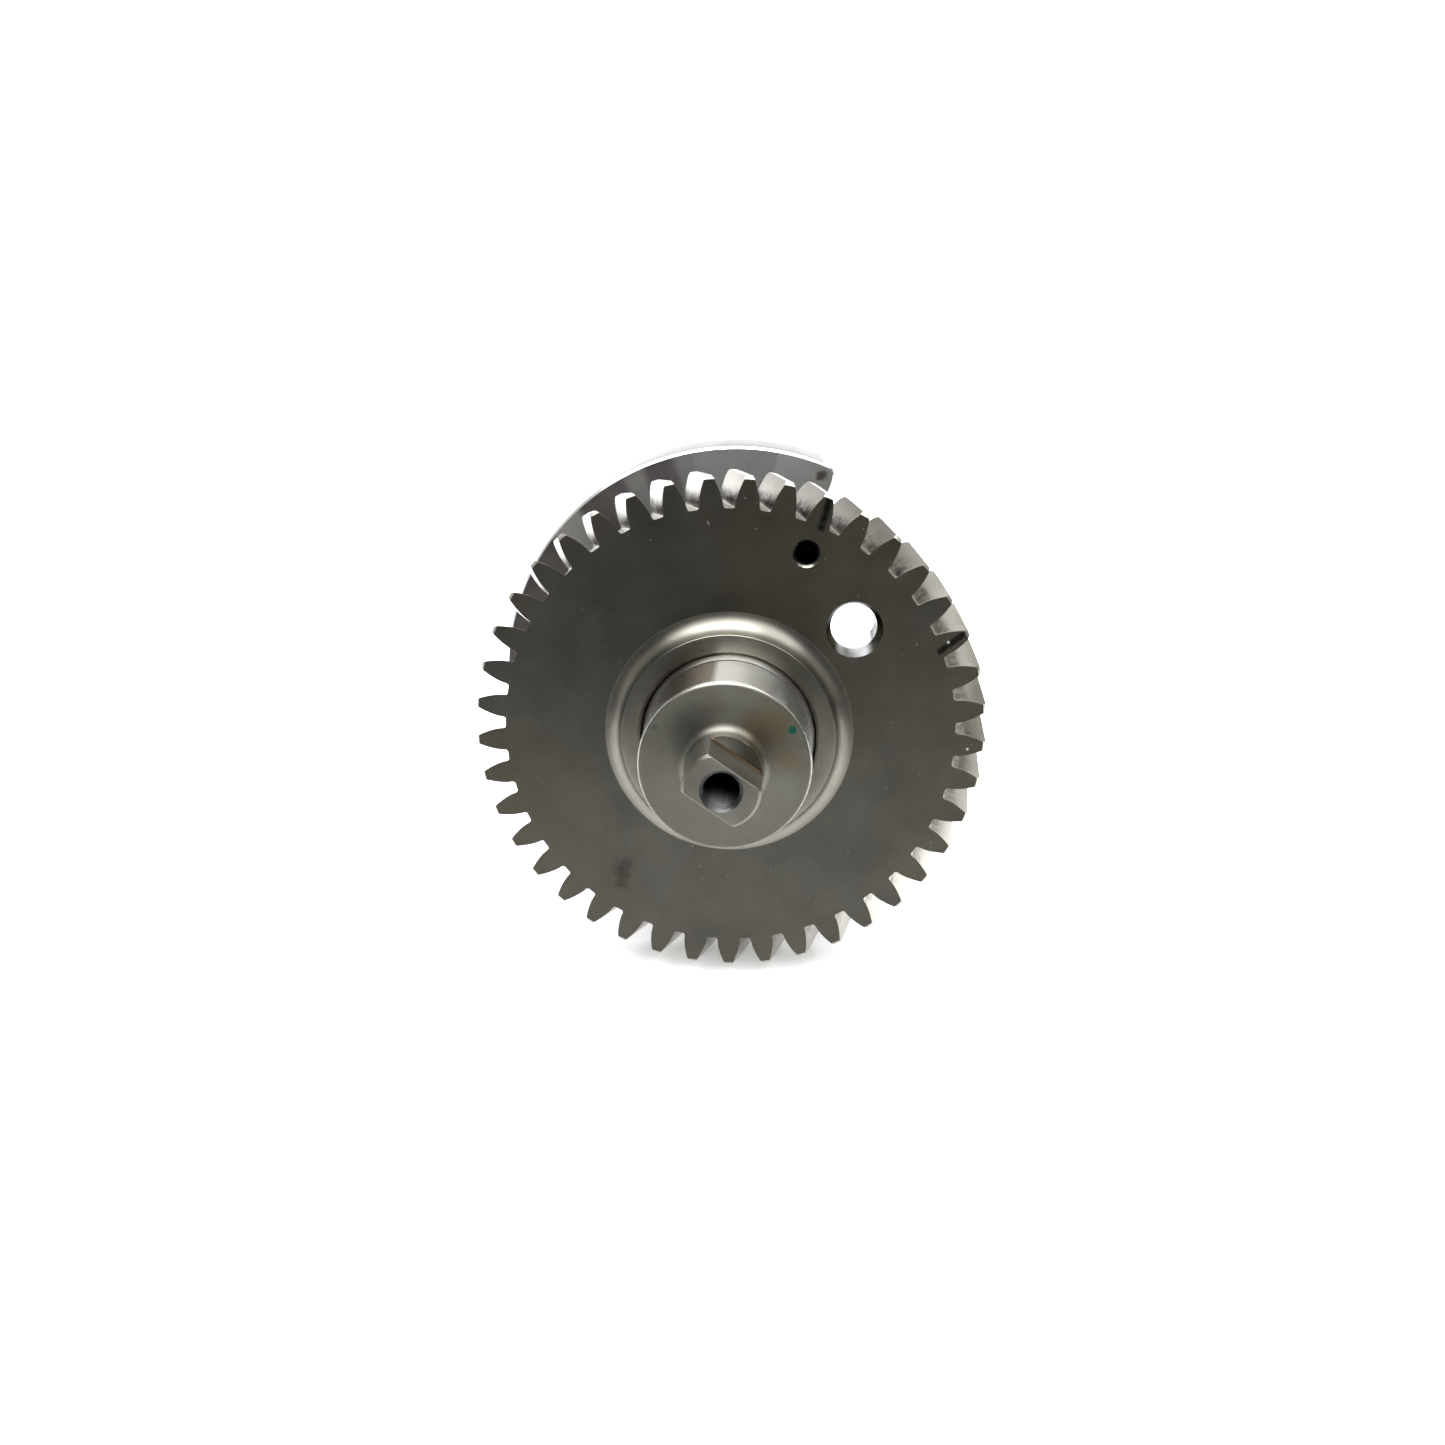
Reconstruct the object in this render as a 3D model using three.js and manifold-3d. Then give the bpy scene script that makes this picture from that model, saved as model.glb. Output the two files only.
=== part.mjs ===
// Engine balance shaft with a pressed-on 41-tooth helical gear, a half-moon counterweight
// and a deep-groove ball bearing at its rear end.
//
// Units are millimetres. The shaft's axis is Y. The origin is the centre of the rear ball bearing,
// the drive stub points to -Y, and the part is described as seen from the stub's end, with +X to the
// right and +Z up. Angles round the shaft start at +X and grow towards +Z.

import * as THREE from 'three';
import * as BufferGeometryUtils from 'three/addons/utils/BufferGeometryUtils.js';
import Module from 'manifold-3d';

const wasm = await Module();
wasm.setup();

// ---------------------------------------------------------------- driving dimensions

const FIT_GAP = 0.3; // left between pressed and touching pieces
const DEG = Math.PI / 180;

// stations along the shaft, front to rear
const STUB_END_Y = -113.7;
const JOURNAL_FACE_Y = -101.5;
const BOSS_TOP_Y = -85.9;
const GEAR_FRONT_Y = -82;
const GEAR_WIDTH = 10.2;
const WEIGHT_FRONT_Y = -44.5;
const WEIGHT_WIDTH = 16;
const SHAFT_END_Y = 10.5;
const GEAR_REAR_Y = GEAR_FRONT_Y + GEAR_WIDTH;
const WEIGHT_REAR_Y = WEIGHT_FRONT_Y + WEIGHT_WIDTH;

// drive stub: round, with two flats across it and a blind hole for an M7 screw
const STUB_R = 6.55;
const STUB_CHAMFER = 0.5;
const STUB_FILLET = 1.5;
const FLATS_ACROSS = 7.8;
const FLATS_ANGLE = 54.5 * DEG;
const FLATS_END_Y = -104.7;
const SCREW_HOLE_R = 3;
const SCREW_HOLE_DEPTH = 15;
const SCREW_HOLE_TIP = 1.7;
const SCREW_HOLE_MOUTH_R = 3.56;

// round stretches of the shaft
const JOURNAL_R = 15;
const JOURNAL_LEAD_IN = 0.55; // how much the journal narrows towards its end face
const JOURNAL_LEAD_IN_LENGTH = 2.2;
const RELIEF_R = 14.6;
const RELIEF_WIDTH = 1.2;
const RELIEF_TAPER = 1;
const SHOULDER_R = 21;
const SHOULDER_WIDTH = 3.5;
const MIDDLE_R = 17;
const MIDDLE_TAPER = 3;
const END_CHAMFER = 0.8;
const CENTRE_DRILL_R = 1.6;
const CENTRE_DRILL_DEPTH = 1.5;

// helical gear
const TEETH = 41;
const TIP_R = 46.98;
const ROOT_R = 41.3;
const PITCH_R = 44;
const PRESSURE_ANGLE = 17.5 * DEG;
const TOOTH_THICKNESS = 3.55; // along the pitch circle
const ROOT_FLOOR = 1.3; // flat width of a tooth gap's floor
const ROOT_FILLET = 0.8;
const HELIX_TURN = 4.3 * DEG; // how far the rear face is turned from the front one: left-hand helix
const FIRST_TOOTH_ANGLE = 94.03 * DEG;
const GEAR_BORE_R = 16;
const BORE_CHAMFER = 0.5;
const BOSS_R = 19.44;
const BOSS_FILLET = 3.4;
const BOSS_CHAMFER = 0.3;
const TIP_CHAMFER = 0.6; // turned on both faces of the blank before the teeth are cut
const DRILL_TIP = 0.6; // height of a drilled hole's pointed bottom over the hole's radius
const TIMING_HOLE = { radius: 2.06, mouthR: 2.5, leadIn: 0.5, depth: 7.5, fromAxis: 36, angle: 67.4 * DEG };
const LARGE_HOLE = { radius: 4.2, mouthR: 5.1, leadIn: 3, rearMouthR: 4.5, fromAxis: 29.9, angle: 41 * DEG };

// counterweight
const WEIGHT_R = 49.6;
const WEIGHT_FRONT_RIM_R = 48.5;
const WEIGHT_RIM_TAPER = 4.2;
const WEIGHT_START = 64.5 * DEG;
const WEIGHT_END = 222 * DEG;
const WEIGHT_CORNER_R = 4.2;
const WEIGHT_TRIM = 0.6; // the outline is drawn this much too large, and the rim is turned down to size
const WEIGHT_HUB_R = 21.5;
const WEIGHT_BORE_R = 15;
const KEY_WIDTH = 6;
const KEY_HEIGHT = 6;
const KEY_LENGTH = 11;
const KEY_DEPTH_IN_SHAFT = 3.3;

// rear bearing, 20 x 42 x 12, with its nine balls in a riveted ribbon cage
const BEARING_BORE_R = 10;
const BEARING_R = 21;
const BEARING_WIDTH = 12;
const BALLS = 9;
const BALL_R = 3.175;
const BALL_CIRCLE_R = 15.5;
const BALL_CLEARANCE = 0.15;
const INNER_LAND_R = 13.6;
const OUTER_LAND_R = 17.4;
const OUTER_RING_CHAMFER = 0.8;
const INNER_RING_CHAMFER = 0.6;
const CAGE_INNER_R = 14.1;
const CAGE_OUTER_R = 16.9;
const CAGE_SHEET = 0.7;
const CAGE_HALF_GAP = 0.15;
const CAGE_POCKET_R = 3.4;
const RIVET_R = 0.5;
const RIVET_HEAD_R = 0.95;
const RIVET_HEAD_HEIGHT = 0.4;
const RIVET_GAP = 0.2;

// stepped distance sleeve and retaining ring
const SLEEVE_FLANGE_R = 18;
const SLEEVE_FLANGE_WIDTH = 3.5;
const SLEEVE_R = 13.3;
const SLEEVE_FILLET = 1;
const SLEEVE_CHAMFER = 0.5;
const GROOVE_R = 9.1;
const GROOVE_WIDTH = 1.6;
const RETAINER_WIDTH = 1.2;
const RETAINER_R = 11.6;
const RETAINER_OFFSET = 0.4;
const RETAINER_LUG_R = 1.6;
const RETAINER_LUG_FROM_AXIS = 11.7;
const RETAINER_LUG_HOLE_R = 0.75;
const RETAINER_LUG_ANGLE = 15 * DEG;
const RETAINER_MOUTH = 5 * DEG;

// facets round a full turn
const SHAFT_SIDES = 36;
const RING_SIDES = 40;
const RIM_SIDES = 72;
const HOLE_SIDES = 16;
const RIVET_SIDES = 8;

// ---------------------------------------------------------------- materials

const steel = (color, roughness) => new THREE.MeshStandardMaterial({ color, roughness, metalness: 1 });
const shaftSteel = steel(0x9a9892, 0.25);
const gearSteel = steel(0x56534c, 0.42);
const weightSteel = steel(0x8b8985, 0.3);
const raceSteel = steel(0xb4b6b8, 0.2);
const ballSteel = steel(0xd2d4d6, 0.08);
const cageSteel = steel(0x8f8a7c, 0.45);
const springSteel = steel(0x3a3835, 0.5);

// ---------------------------------------------------------------- geometry helpers

// A closed mesh that shares its vertices and has no triangles without area.
function weld(geometry) {
  const bare = geometry.clone();
  bare.deleteAttribute('normal');
  bare.deleteAttribute('uv');
  const merged = BufferGeometryUtils.mergeVertices(bare, 1e-4);
  const corners = merged.index.array;
  const kept = [];
  for (let i = 0; i < corners.length; i += 3) {
    const [a, b, c] = [corners[i], corners[i + 1], corners[i + 2]];
    if (a !== b && b !== c && c !== a) kept.push(a, b, c);
  }
  merged.setIndex(kept);
  return merged;
}

function solid(geometry) {
  const welded = weld(geometry);
  const vertProperties = new Float32Array(welded.attributes.position.array);
  const triVerts = new Uint32Array(welded.index.array);
  return new wasm.Manifold(new wasm.Mesh({ numProp: 3, vertProperties, triVerts }));
}

function meshGeometry(manifold) {
  const { vertProperties, triVerts } = manifold.getMesh();
  const geometry = new THREE.BufferGeometry();
  geometry.setAttribute('position', new THREE.BufferAttribute(vertProperties, 3));
  geometry.setIndex(new THREE.BufferAttribute(triVerts, 1));
  return geometry;
}

function named(name, geometry, material) {
  const shown = weld(geometry);
  shown.computeVertexNormals();
  const mesh = new THREE.Mesh(shown, material);
  mesh.name = name;
  return mesh;
}

// The unit direction at an angle round the shaft.
const around = (angle) => new THREE.Vector2(Math.cos(angle), Math.sin(angle));

// A turned solid from [radius, y] pairs, with the outer surface running towards +Y.
function turned(profile, sides) {
  return new THREE.LatheGeometry(profile.map(([r, y]) => new THREE.Vector2(r, y)), sides);
}

// A turned ring: the profile closes on itself.
const turnedRing = (profile, sides) => turned([...profile, profile[0]], sides);

// A flat outline, drawn in X and Z, as a plate between two stations along the shaft.
function plate(shape, frontY, rearY, curveSegments = 12) {
  const settings = { depth: rearY - frontY, bevelEnabled: false, curveSegments };
  const geometry = new THREE.ExtrudeGeometry(shape, settings);
  geometry.rotateX(Math.PI / 2);
  geometry.translate(0, rearY, 0);
  return geometry;
}

// A box whose first side lies along the direction at an angle round the shaft.
function boxAround(angle, fromAxis, size, y) {
  const geometry = new THREE.BoxGeometry(size.radial, size.axial, size.across);
  geometry.translate(fromAxis, y, 0);
  geometry.rotateY(-angle);
  return geometry;
}

// Points on an arc in [radius, y] pairs, from one angle to another.
function arc(centreR, centreY, radius, from, to, steps) {
  const points = [];
  for (let i = 0; i <= steps; i++) {
    const a = from + ((to - from) * i) / steps;
    points.push([centreR + radius * Math.cos(a), centreY + radius * Math.sin(a)]);
  }
  return points;
}

// ---------------------------------------------------------------- shaft

function shaftProfile() {
  const holeEndY = STUB_END_Y + SCREW_HOLE_DEPTH;
  const mouth = SCREW_HOLE_MOUTH_R - SCREW_HOLE_R;
  const gearSeatR = GEAR_BORE_R - FIT_GAP;
  const gearSeatY = BOSS_TOP_Y + RELIEF_WIDTH;
  const shoulderFrontY = GEAR_REAR_Y + FIT_GAP;
  const shoulderRearY = WEIGHT_FRONT_Y - FIT_GAP;
  const weightSeatR = WEIGHT_BORE_R - FIT_GAP;
  const bearingSeatR = BEARING_BORE_R - FIT_GAP;
  const grooveY = BEARING_WIDTH / 2 + FIT_GAP + RETAINER_WIDTH / 2 - GROOVE_WIDTH / 2;
  return [
    [0, holeEndY + SCREW_HOLE_TIP],
    [SCREW_HOLE_R, holeEndY],
    [SCREW_HOLE_R, STUB_END_Y + mouth],
    [SCREW_HOLE_MOUTH_R, STUB_END_Y],
    [STUB_R - STUB_CHAMFER, STUB_END_Y],
    [STUB_R, STUB_END_Y + STUB_CHAMFER],
    ...arc(STUB_R + STUB_FILLET, JOURNAL_FACE_Y - STUB_FILLET, STUB_FILLET, Math.PI, Math.PI / 2, 3),
    [JOURNAL_R - JOURNAL_LEAD_IN, JOURNAL_FACE_Y],
    [JOURNAL_R, JOURNAL_FACE_Y + JOURNAL_LEAD_IN_LENGTH],
    [JOURNAL_R, BOSS_TOP_Y - RELIEF_TAPER],
    [RELIEF_R, BOSS_TOP_Y],
    [RELIEF_R, gearSeatY],
    [gearSeatR, gearSeatY],
    [gearSeatR, shoulderFrontY],
    [SHOULDER_R, shoulderFrontY],
    [SHOULDER_R, shoulderFrontY + SHOULDER_WIDTH],
    [MIDDLE_R, shoulderFrontY + SHOULDER_WIDTH + MIDDLE_TAPER],
    [MIDDLE_R, shoulderRearY - SHOULDER_WIDTH - MIDDLE_TAPER],
    [SHOULDER_R, shoulderRearY - SHOULDER_WIDTH],
    [SHOULDER_R, shoulderRearY],
    [weightSeatR, shoulderRearY],
    [weightSeatR, WEIGHT_REAR_Y - FIT_GAP],
    [bearingSeatR, WEIGHT_REAR_Y - FIT_GAP],
    [bearingSeatR, grooveY],
    [GROOVE_R, grooveY],
    [GROOVE_R, grooveY + GROOVE_WIDTH],
    [bearingSeatR, grooveY + GROOVE_WIDTH],
    [bearingSeatR, SHAFT_END_Y - END_CHAMFER],
    [bearingSeatR - END_CHAMFER, SHAFT_END_Y],
    [CENTRE_DRILL_R, SHAFT_END_Y],
    [0, SHAFT_END_Y - CENTRE_DRILL_DEPTH],
  ];
}

// One of the two flats: everything beyond it, from the stub's end to where the flat stops.
function flatCut(angle) {
  const radial = STUB_R;
  const axial = FLATS_END_Y - STUB_END_Y + 1;
  const size = { radial, axial, across: 3 * STUB_R };
  return solid(boxAround(angle, FLATS_ACROSS / 2 + radial / 2, size, FLATS_END_Y - axial / 2));
}

const keyAngle = (WEIGHT_START + WEIGHT_END) / 2;
const keyFromAxis = WEIGHT_BORE_R - FIT_GAP - KEY_DEPTH_IN_SHAFT + KEY_HEIGHT / 2;
const keyMiddleY = (WEIGHT_FRONT_Y + WEIGHT_REAR_Y) / 2;

// The key, or with a gap the slot that it sits in.
function keyBox(gap) {
  const size = { radial: KEY_HEIGHT + 2 * gap, axial: KEY_LENGTH + 2 * gap, across: KEY_WIDTH + 2 * gap };
  return boxAround(keyAngle, keyFromAxis, size, keyMiddleY);
}

function balanceShaft() {
  const body = solid(turned(shaftProfile(), SHAFT_SIDES))
    .subtract(flatCut(FLATS_ANGLE))
    .subtract(flatCut(FLATS_ANGLE + Math.PI))
    .subtract(solid(keyBox(FIT_GAP)));
  return named('balance_shaft', meshGeometry(body), shaftSteel);
}

// ---------------------------------------------------------------- helical gear

const involute = (angle) => Math.tan(angle) - angle;

// Half of the angle that a tooth covers at a radius. Below the base circle the flank is radial.
function halfToothAngle(radius) {
  const baseR = PITCH_R * Math.cos(PRESSURE_ANGLE);
  const here = Math.acos(Math.min(1, baseR / radius));
  return TOOTH_THICKNESS / 2 / PITCH_R + involute(PRESSURE_ANGLE) - involute(here);
}

function gearOutline() {
  const pitch = (2 * Math.PI) / TEETH;
  const rootHalfAngle = pitch / 2 - ROOT_FLOOR / 2 / ROOT_R;
  const flankRadii = [ROOT_R + ROOT_FILLET, PITCH_R + 0.4, TIP_R];
  const flank = flankRadii.map((r) => [r, halfToothAngle(r)]);
  const halfTooth = [[ROOT_R, rootHalfAngle], ...flank];
  const points = [];
  for (let tooth = 0; tooth < TEETH; tooth++) {
    const middle = FIRST_TOOTH_ANGLE + tooth * pitch;
    for (const [r, half] of halfTooth) points.push(around(middle - half).multiplyScalar(r));
    for (const [r, half] of halfTooth.toReversed()) points.push(around(middle + half).multiplyScalar(r));
  }
  return new THREE.Shape(points);
}

// Turns each section of the blank in step with its distance from the front face.
function twist(geometry) {
  const position = geometry.attributes.position;
  for (let i = 0; i < position.count; i++) {
    const turn = (HELIX_TURN * (position.getY(i) - GEAR_FRONT_Y)) / GEAR_WIDTH;
    const [x, z] = [position.getX(i), position.getZ(i)];
    position.setX(i, x * Math.cos(turn) - z * Math.sin(turn));
    position.setZ(i, x * Math.sin(turn) + z * Math.cos(turn));
  }
  return geometry;
}

function boss() {
  const filletR = BOSS_R + BOSS_FILLET;
  const insideY = GEAR_FRONT_Y + GEAR_WIDTH / 2;
  const fillet = arc(filletR, GEAR_FRONT_Y - BOSS_FILLET, BOSS_FILLET, Math.PI, Math.PI / 2, 4);
  const rim = [[BOSS_R - BOSS_CHAMFER, BOSS_TOP_Y], [BOSS_R, BOSS_TOP_Y + BOSS_CHAMFER]];
  return turned([[0, BOSS_TOP_Y], ...rim, ...fillet, [filletR, insideY], [0, insideY]], SHAFT_SIDES);
}

// A drilled hole between two faces, with a chamfer at each.
function drill(radius, chamfer, frontY, rearY, sides) {
  const wide = radius + chamfer + 1;
  return turned(
    [[0, frontY - 1], [wide, frontY - 1], [radius, frontY + chamfer],
     [radius, rearY - chamfer], [wide, rearY + 1], [0, rearY + 1]],
    sides,
  );
}

// A hole in the web with a steep lead-in at the front. One with a depth is blind, with a drill's pointed bottom.
function webHole({ radius, mouthR, leadIn, depth, rearMouthR, fromAxis, angle }) {
  const slope = (mouthR - radius) / leadIn;
  const mouth = [[0, GEAR_FRONT_Y - 1], [mouthR + slope, GEAR_FRONT_Y - 1], [radius, GEAR_FRONT_Y + leadIn]];
  const bottom = depth
    ? [[radius, GEAR_FRONT_Y + depth], [0, GEAR_FRONT_Y + depth + DRILL_TIP * radius]]
    : [[radius, GEAR_REAR_Y - (rearMouthR - radius)], [rearMouthR + 1, GEAR_REAR_Y + 1], [0, GEAR_REAR_Y + 1]];
  const centre = around(angle).multiplyScalar(fromAxis);
  const hole = turned([...mouth, ...bottom], HOLE_SIDES);
  return solid(hole.translate(centre.x, 0, centre.y));
}

// What the chamfers on the blank's rim leave. Each cone has one side for each tooth, and its corners lie in the gaps.
function rimEnvelope() {
  const halfPitch = Math.PI / TEETH;
  const chamferR = (TIP_R - TIP_CHAMFER) / Math.cos(halfPitch);
  const beyond = GEAR_WIDTH + 1;
  const front = turned(
    [[0, GEAR_FRONT_Y - 1], [chamferR - 1, GEAR_FRONT_Y - 1], [chamferR + 2, GEAR_FRONT_Y + 2],
     [chamferR + 2, GEAR_FRONT_Y + beyond], [0, GEAR_FRONT_Y + beyond]],
    TEETH,
  );
  const rear = turned(
    [[0, GEAR_REAR_Y - beyond], [chamferR + 2, GEAR_REAR_Y - beyond], [chamferR + 2, GEAR_REAR_Y - 2],
     [chamferR - 1, GEAR_REAR_Y + 1], [0, GEAR_REAR_Y + 1]],
    TEETH,
  );
  const toGap = Math.PI / 2 - FIRST_TOOTH_ANGLE - halfPitch; // a turned solid's first corner is at +Z
  return solid(front.rotateY(toGap)).intersect(solid(rear.rotateY(toGap - HELIX_TURN)));
}

function helicalGear() {
  const blank = solid(twist(plate(gearOutline(), GEAR_FRONT_Y, GEAR_REAR_Y)));
  const body = blank
    .intersect(rimEnvelope())
    .add(solid(boss()))
    .subtract(solid(drill(GEAR_BORE_R, BORE_CHAMFER, BOSS_TOP_Y, GEAR_REAR_Y, SHAFT_SIDES)))
    .subtract(webHole(TIMING_HOLE))
    .subtract(webHole(LARGE_HOLE));
  return named('helical_gear', meshGeometry(body), gearSteel);
}

// ---------------------------------------------------------------- counterweight

// A half-moon with rounded outer corners, on a hub that goes all the way round the shaft.
function weightOutline() {
  const outlineR = WEIGHT_R + WEIGHT_TRIM;
  const cornerFromAxis = outlineR - WEIGHT_CORNER_R;
  const cornerTurn = Math.asin(WEIGHT_CORNER_R / cornerFromAxis);
  const startCorner = around(WEIGHT_START + cornerTurn).multiplyScalar(cornerFromAxis);
  const endCorner = around(WEIGHT_END - cornerTurn).multiplyScalar(cornerFromAxis);
  const startHub = around(WEIGHT_START).multiplyScalar(WEIGHT_HUB_R);
  const quarter = Math.PI / 2;
  const [from, to] = [WEIGHT_START + cornerTurn, WEIGHT_END - cornerTurn];
  const shape = new THREE.Shape();
  shape.moveTo(startHub.x, startHub.y);
  shape.absarc(startCorner.x, startCorner.y, WEIGHT_CORNER_R, WEIGHT_START - quarter, from);
  shape.absarc(0, 0, outlineR, from, to);
  shape.absarc(endCorner.x, endCorner.y, WEIGHT_CORNER_R, to, WEIGHT_END + quarter);
  shape.absarc(0, 0, WEIGHT_HUB_R, WEIGHT_END, WEIGHT_START + 2 * Math.PI);
  shape.holes.push(new THREE.Path().absarc(0, 0, WEIGHT_BORE_R, 0, 2 * Math.PI, true));
  return shape;
}

function counterweight() {
  const envelope = turned(
    [[0, WEIGHT_FRONT_Y], [WEIGHT_FRONT_RIM_R, WEIGHT_FRONT_Y],
     [WEIGHT_R, WEIGHT_FRONT_Y + WEIGHT_RIM_TAPER], [WEIGHT_R, WEIGHT_REAR_Y], [0, WEIGHT_REAR_Y]],
    RIM_SIDES,
  );
  const body = solid(plate(weightOutline(), WEIGHT_FRONT_Y, WEIGHT_REAR_Y))
    .intersect(solid(envelope))
    .subtract(solid(keyBox(FIT_GAP)));
  return named('counterweight', meshGeometry(body), weightSteel);
}

const counterweightKey = () => named('counterweight_key', keyBox(0), springSteel);

// ---------------------------------------------------------------- rear bearing

const raceR = BALL_R + BALL_CLEARANCE;
const bearingHalf = BEARING_WIDTH / 2;

function outerRing() {
  const edge = Math.acos((OUTER_LAND_R - BALL_CIRCLE_R) / raceR);
  const chamferR = BEARING_R - OUTER_RING_CHAMFER;
  const chamferY = bearingHalf - OUTER_RING_CHAMFER;
  const profile = [
    [OUTER_LAND_R, -bearingHalf],
    [chamferR, -bearingHalf],
    [BEARING_R, -chamferY],
    [BEARING_R, chamferY],
    [chamferR, bearingHalf],
    [OUTER_LAND_R, bearingHalf],
    ...arc(BALL_CIRCLE_R, 0, raceR, edge, -edge, 4),
  ];
  return named('bearing_outer_ring', turnedRing(profile, RING_SIDES), raceSteel);
}

function innerRing() {
  const edge = Math.acos((BALL_CIRCLE_R - INNER_LAND_R) / raceR);
  const chamferR = BEARING_BORE_R + INNER_RING_CHAMFER;
  const chamferY = bearingHalf - INNER_RING_CHAMFER;
  const profile = [
    [BEARING_BORE_R, -chamferY],
    [chamferR, -bearingHalf],
    [INNER_LAND_R, -bearingHalf],
    ...arc(BALL_CIRCLE_R, 0, raceR, Math.PI + edge, Math.PI - edge, 4),
    [INNER_LAND_R, bearingHalf],
    [chamferR, bearingHalf],
    [BEARING_BORE_R, chamferY],
  ];
  return named('bearing_inner_ring', turnedRing(profile, RING_SIDES), raceSteel);
}

// The sheet's inner and outer height above the cage's middle plane, at a distance along the
// ball circle from the nearest ball's centre: a round pocket over the ball, flat between balls.
function cageHeights(distance) {
  const pocket = (radius) => Math.sqrt(Math.max(0, radius * radius - distance * distance));
  const inner = Math.max(CAGE_HALF_GAP, pocket(CAGE_POCKET_R));
  const outer = Math.max(CAGE_HALF_GAP + CAGE_SHEET, pocket(CAGE_POCKET_R + CAGE_SHEET));
  return [inner, outer];
}

// Half of the ribbon cage as a closed band: one four-cornered section after another.
function cageBand() {
  const halfStep = (Math.PI * BALL_CIRCLE_R) / BALLS;
  const side = [1.2, 2.35, 3.05, CAGE_POCKET_R, CAGE_POCKET_R + CAGE_SHEET - 0.05];
  const distances = [...side.map((d) => -d).toReversed(), 0, ...side, halfStep];
  const corners = [];
  for (let ball = 0; ball < BALLS; ball++) {
    for (const distance of distances) {
      const direction = around(ballAngle(ball) + distance / BALL_CIRCLE_R);
      const [inner, outer] = cageHeights(Math.abs(distance));
      for (const [r, y] of [[CAGE_INNER_R, inner], [CAGE_OUTER_R, inner],
                            [CAGE_OUTER_R, outer], [CAGE_INNER_R, outer]]) {
        corners.push(direction.x * r, y, direction.y * r);
      }
    }
  }
  const sections = BALLS * distances.length;
  const triangles = [];
  for (let section = 0; section < sections; section++) {
    const here = 4 * section;
    const next = 4 * ((section + 1) % sections);
    for (let corner = 0; corner < 4; corner++) {
      const other = (corner + 1) % 4;
      triangles.push(here + corner, here + other, next + other);
      triangles.push(here + corner, next + other, next + corner);
    }
  }
  const geometry = new THREE.BufferGeometry();
  geometry.setAttribute('position', new THREE.Float32BufferAttribute(corners, 3));
  geometry.setIndex(triangles);
  return geometry;
}

const ballAngle = (ball) => Math.PI / 2 + (ball * 2 * Math.PI) / BALLS;
const rivetAngle = (rivet) => ballAngle(rivet) + Math.PI / BALLS;

function cageHalf(name) {
  let body = solid(cageBand());
  for (let rivet = 0; rivet < BALLS; rivet++) {
    const centre = around(rivetAngle(rivet)).multiplyScalar(BALL_CIRCLE_R);
    const radius = RIVET_R + RIVET_GAP;
    const hole = new THREE.CylinderGeometry(radius, radius, 2 * BALL_R, RIVET_SIDES);
    body = body.subtract(solid(hole.translate(centre.x, 0, centre.y)));
  }
  return named(name, meshGeometry(body), cageSteel);
}

function ball(index) {
  const mesh = named(`ball_${index + 1}`, new THREE.SphereGeometry(BALL_R, 12, 8), ballSteel);
  const centre = around(ballAngle(index)).multiplyScalar(BALL_CIRCLE_R);
  mesh.position.set(centre.x, 0, centre.y);
  return mesh;
}

function rivet(index) {
  const headY = CAGE_HALF_GAP + CAGE_SHEET + RIVET_GAP;
  const topY = headY + RIVET_HEAD_HEIGHT;
  const profile = [
    [0, -topY], [RIVET_HEAD_R, -topY], [RIVET_HEAD_R, -headY], [RIVET_R, -headY],
    [RIVET_R, headY], [RIVET_HEAD_R, headY], [RIVET_HEAD_R, topY], [0, topY],
  ];
  const mesh = named(`cage_rivet_${index + 1}`, turned(profile, RIVET_SIDES), cageSteel);
  const centre = around(rivetAngle(index)).multiplyScalar(BALL_CIRCLE_R);
  mesh.position.set(centre.x, 0, centre.y);
  return mesh;
}

// The front half is the rear half turned over about the line through the first ball.
function cage() {
  const rearHalf = cageHalf('cage_rear_half');
  const frontHalf = cageHalf('cage_front_half');
  frontHalf.rotation.z = Math.PI;
  const group = new THREE.Group();
  group.add(frontHalf, rearHalf);
  for (let index = 0; index < BALLS; index++) group.add(rivet(index), ball(index));
  return group;
}

// ---------------------------------------------------------------- rings on the shaft

// The sleeve's flange bears on the counterweight and its thin end on the bearing's inner ring.
function distanceSleeve() {
  const frontY = WEIGHT_REAR_Y + FIT_GAP;
  const rearY = -bearingHalf - FIT_GAP;
  const flangeY = frontY + SLEEVE_FLANGE_WIDTH;
  const profile = [
    [BEARING_BORE_R, frontY],
    [SLEEVE_FLANGE_R - SLEEVE_CHAMFER, frontY],
    [SLEEVE_FLANGE_R, frontY + SLEEVE_CHAMFER],
    [SLEEVE_FLANGE_R, flangeY - SLEEVE_CHAMFER],
    [SLEEVE_FLANGE_R - SLEEVE_CHAMFER, flangeY],
    ...arc(SLEEVE_R + SLEEVE_FILLET, flangeY + SLEEVE_FILLET, SLEEVE_FILLET, 1.5 * Math.PI, Math.PI, 3),
    [SLEEVE_R, rearY - SLEEVE_CHAMFER],
    [SLEEVE_R - SLEEVE_CHAMFER, rearY],
    [BEARING_BORE_R, rearY],
  ];
  return named('distance_sleeve', turnedRing(profile, RING_SIDES), shaftSteel);
}

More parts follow.
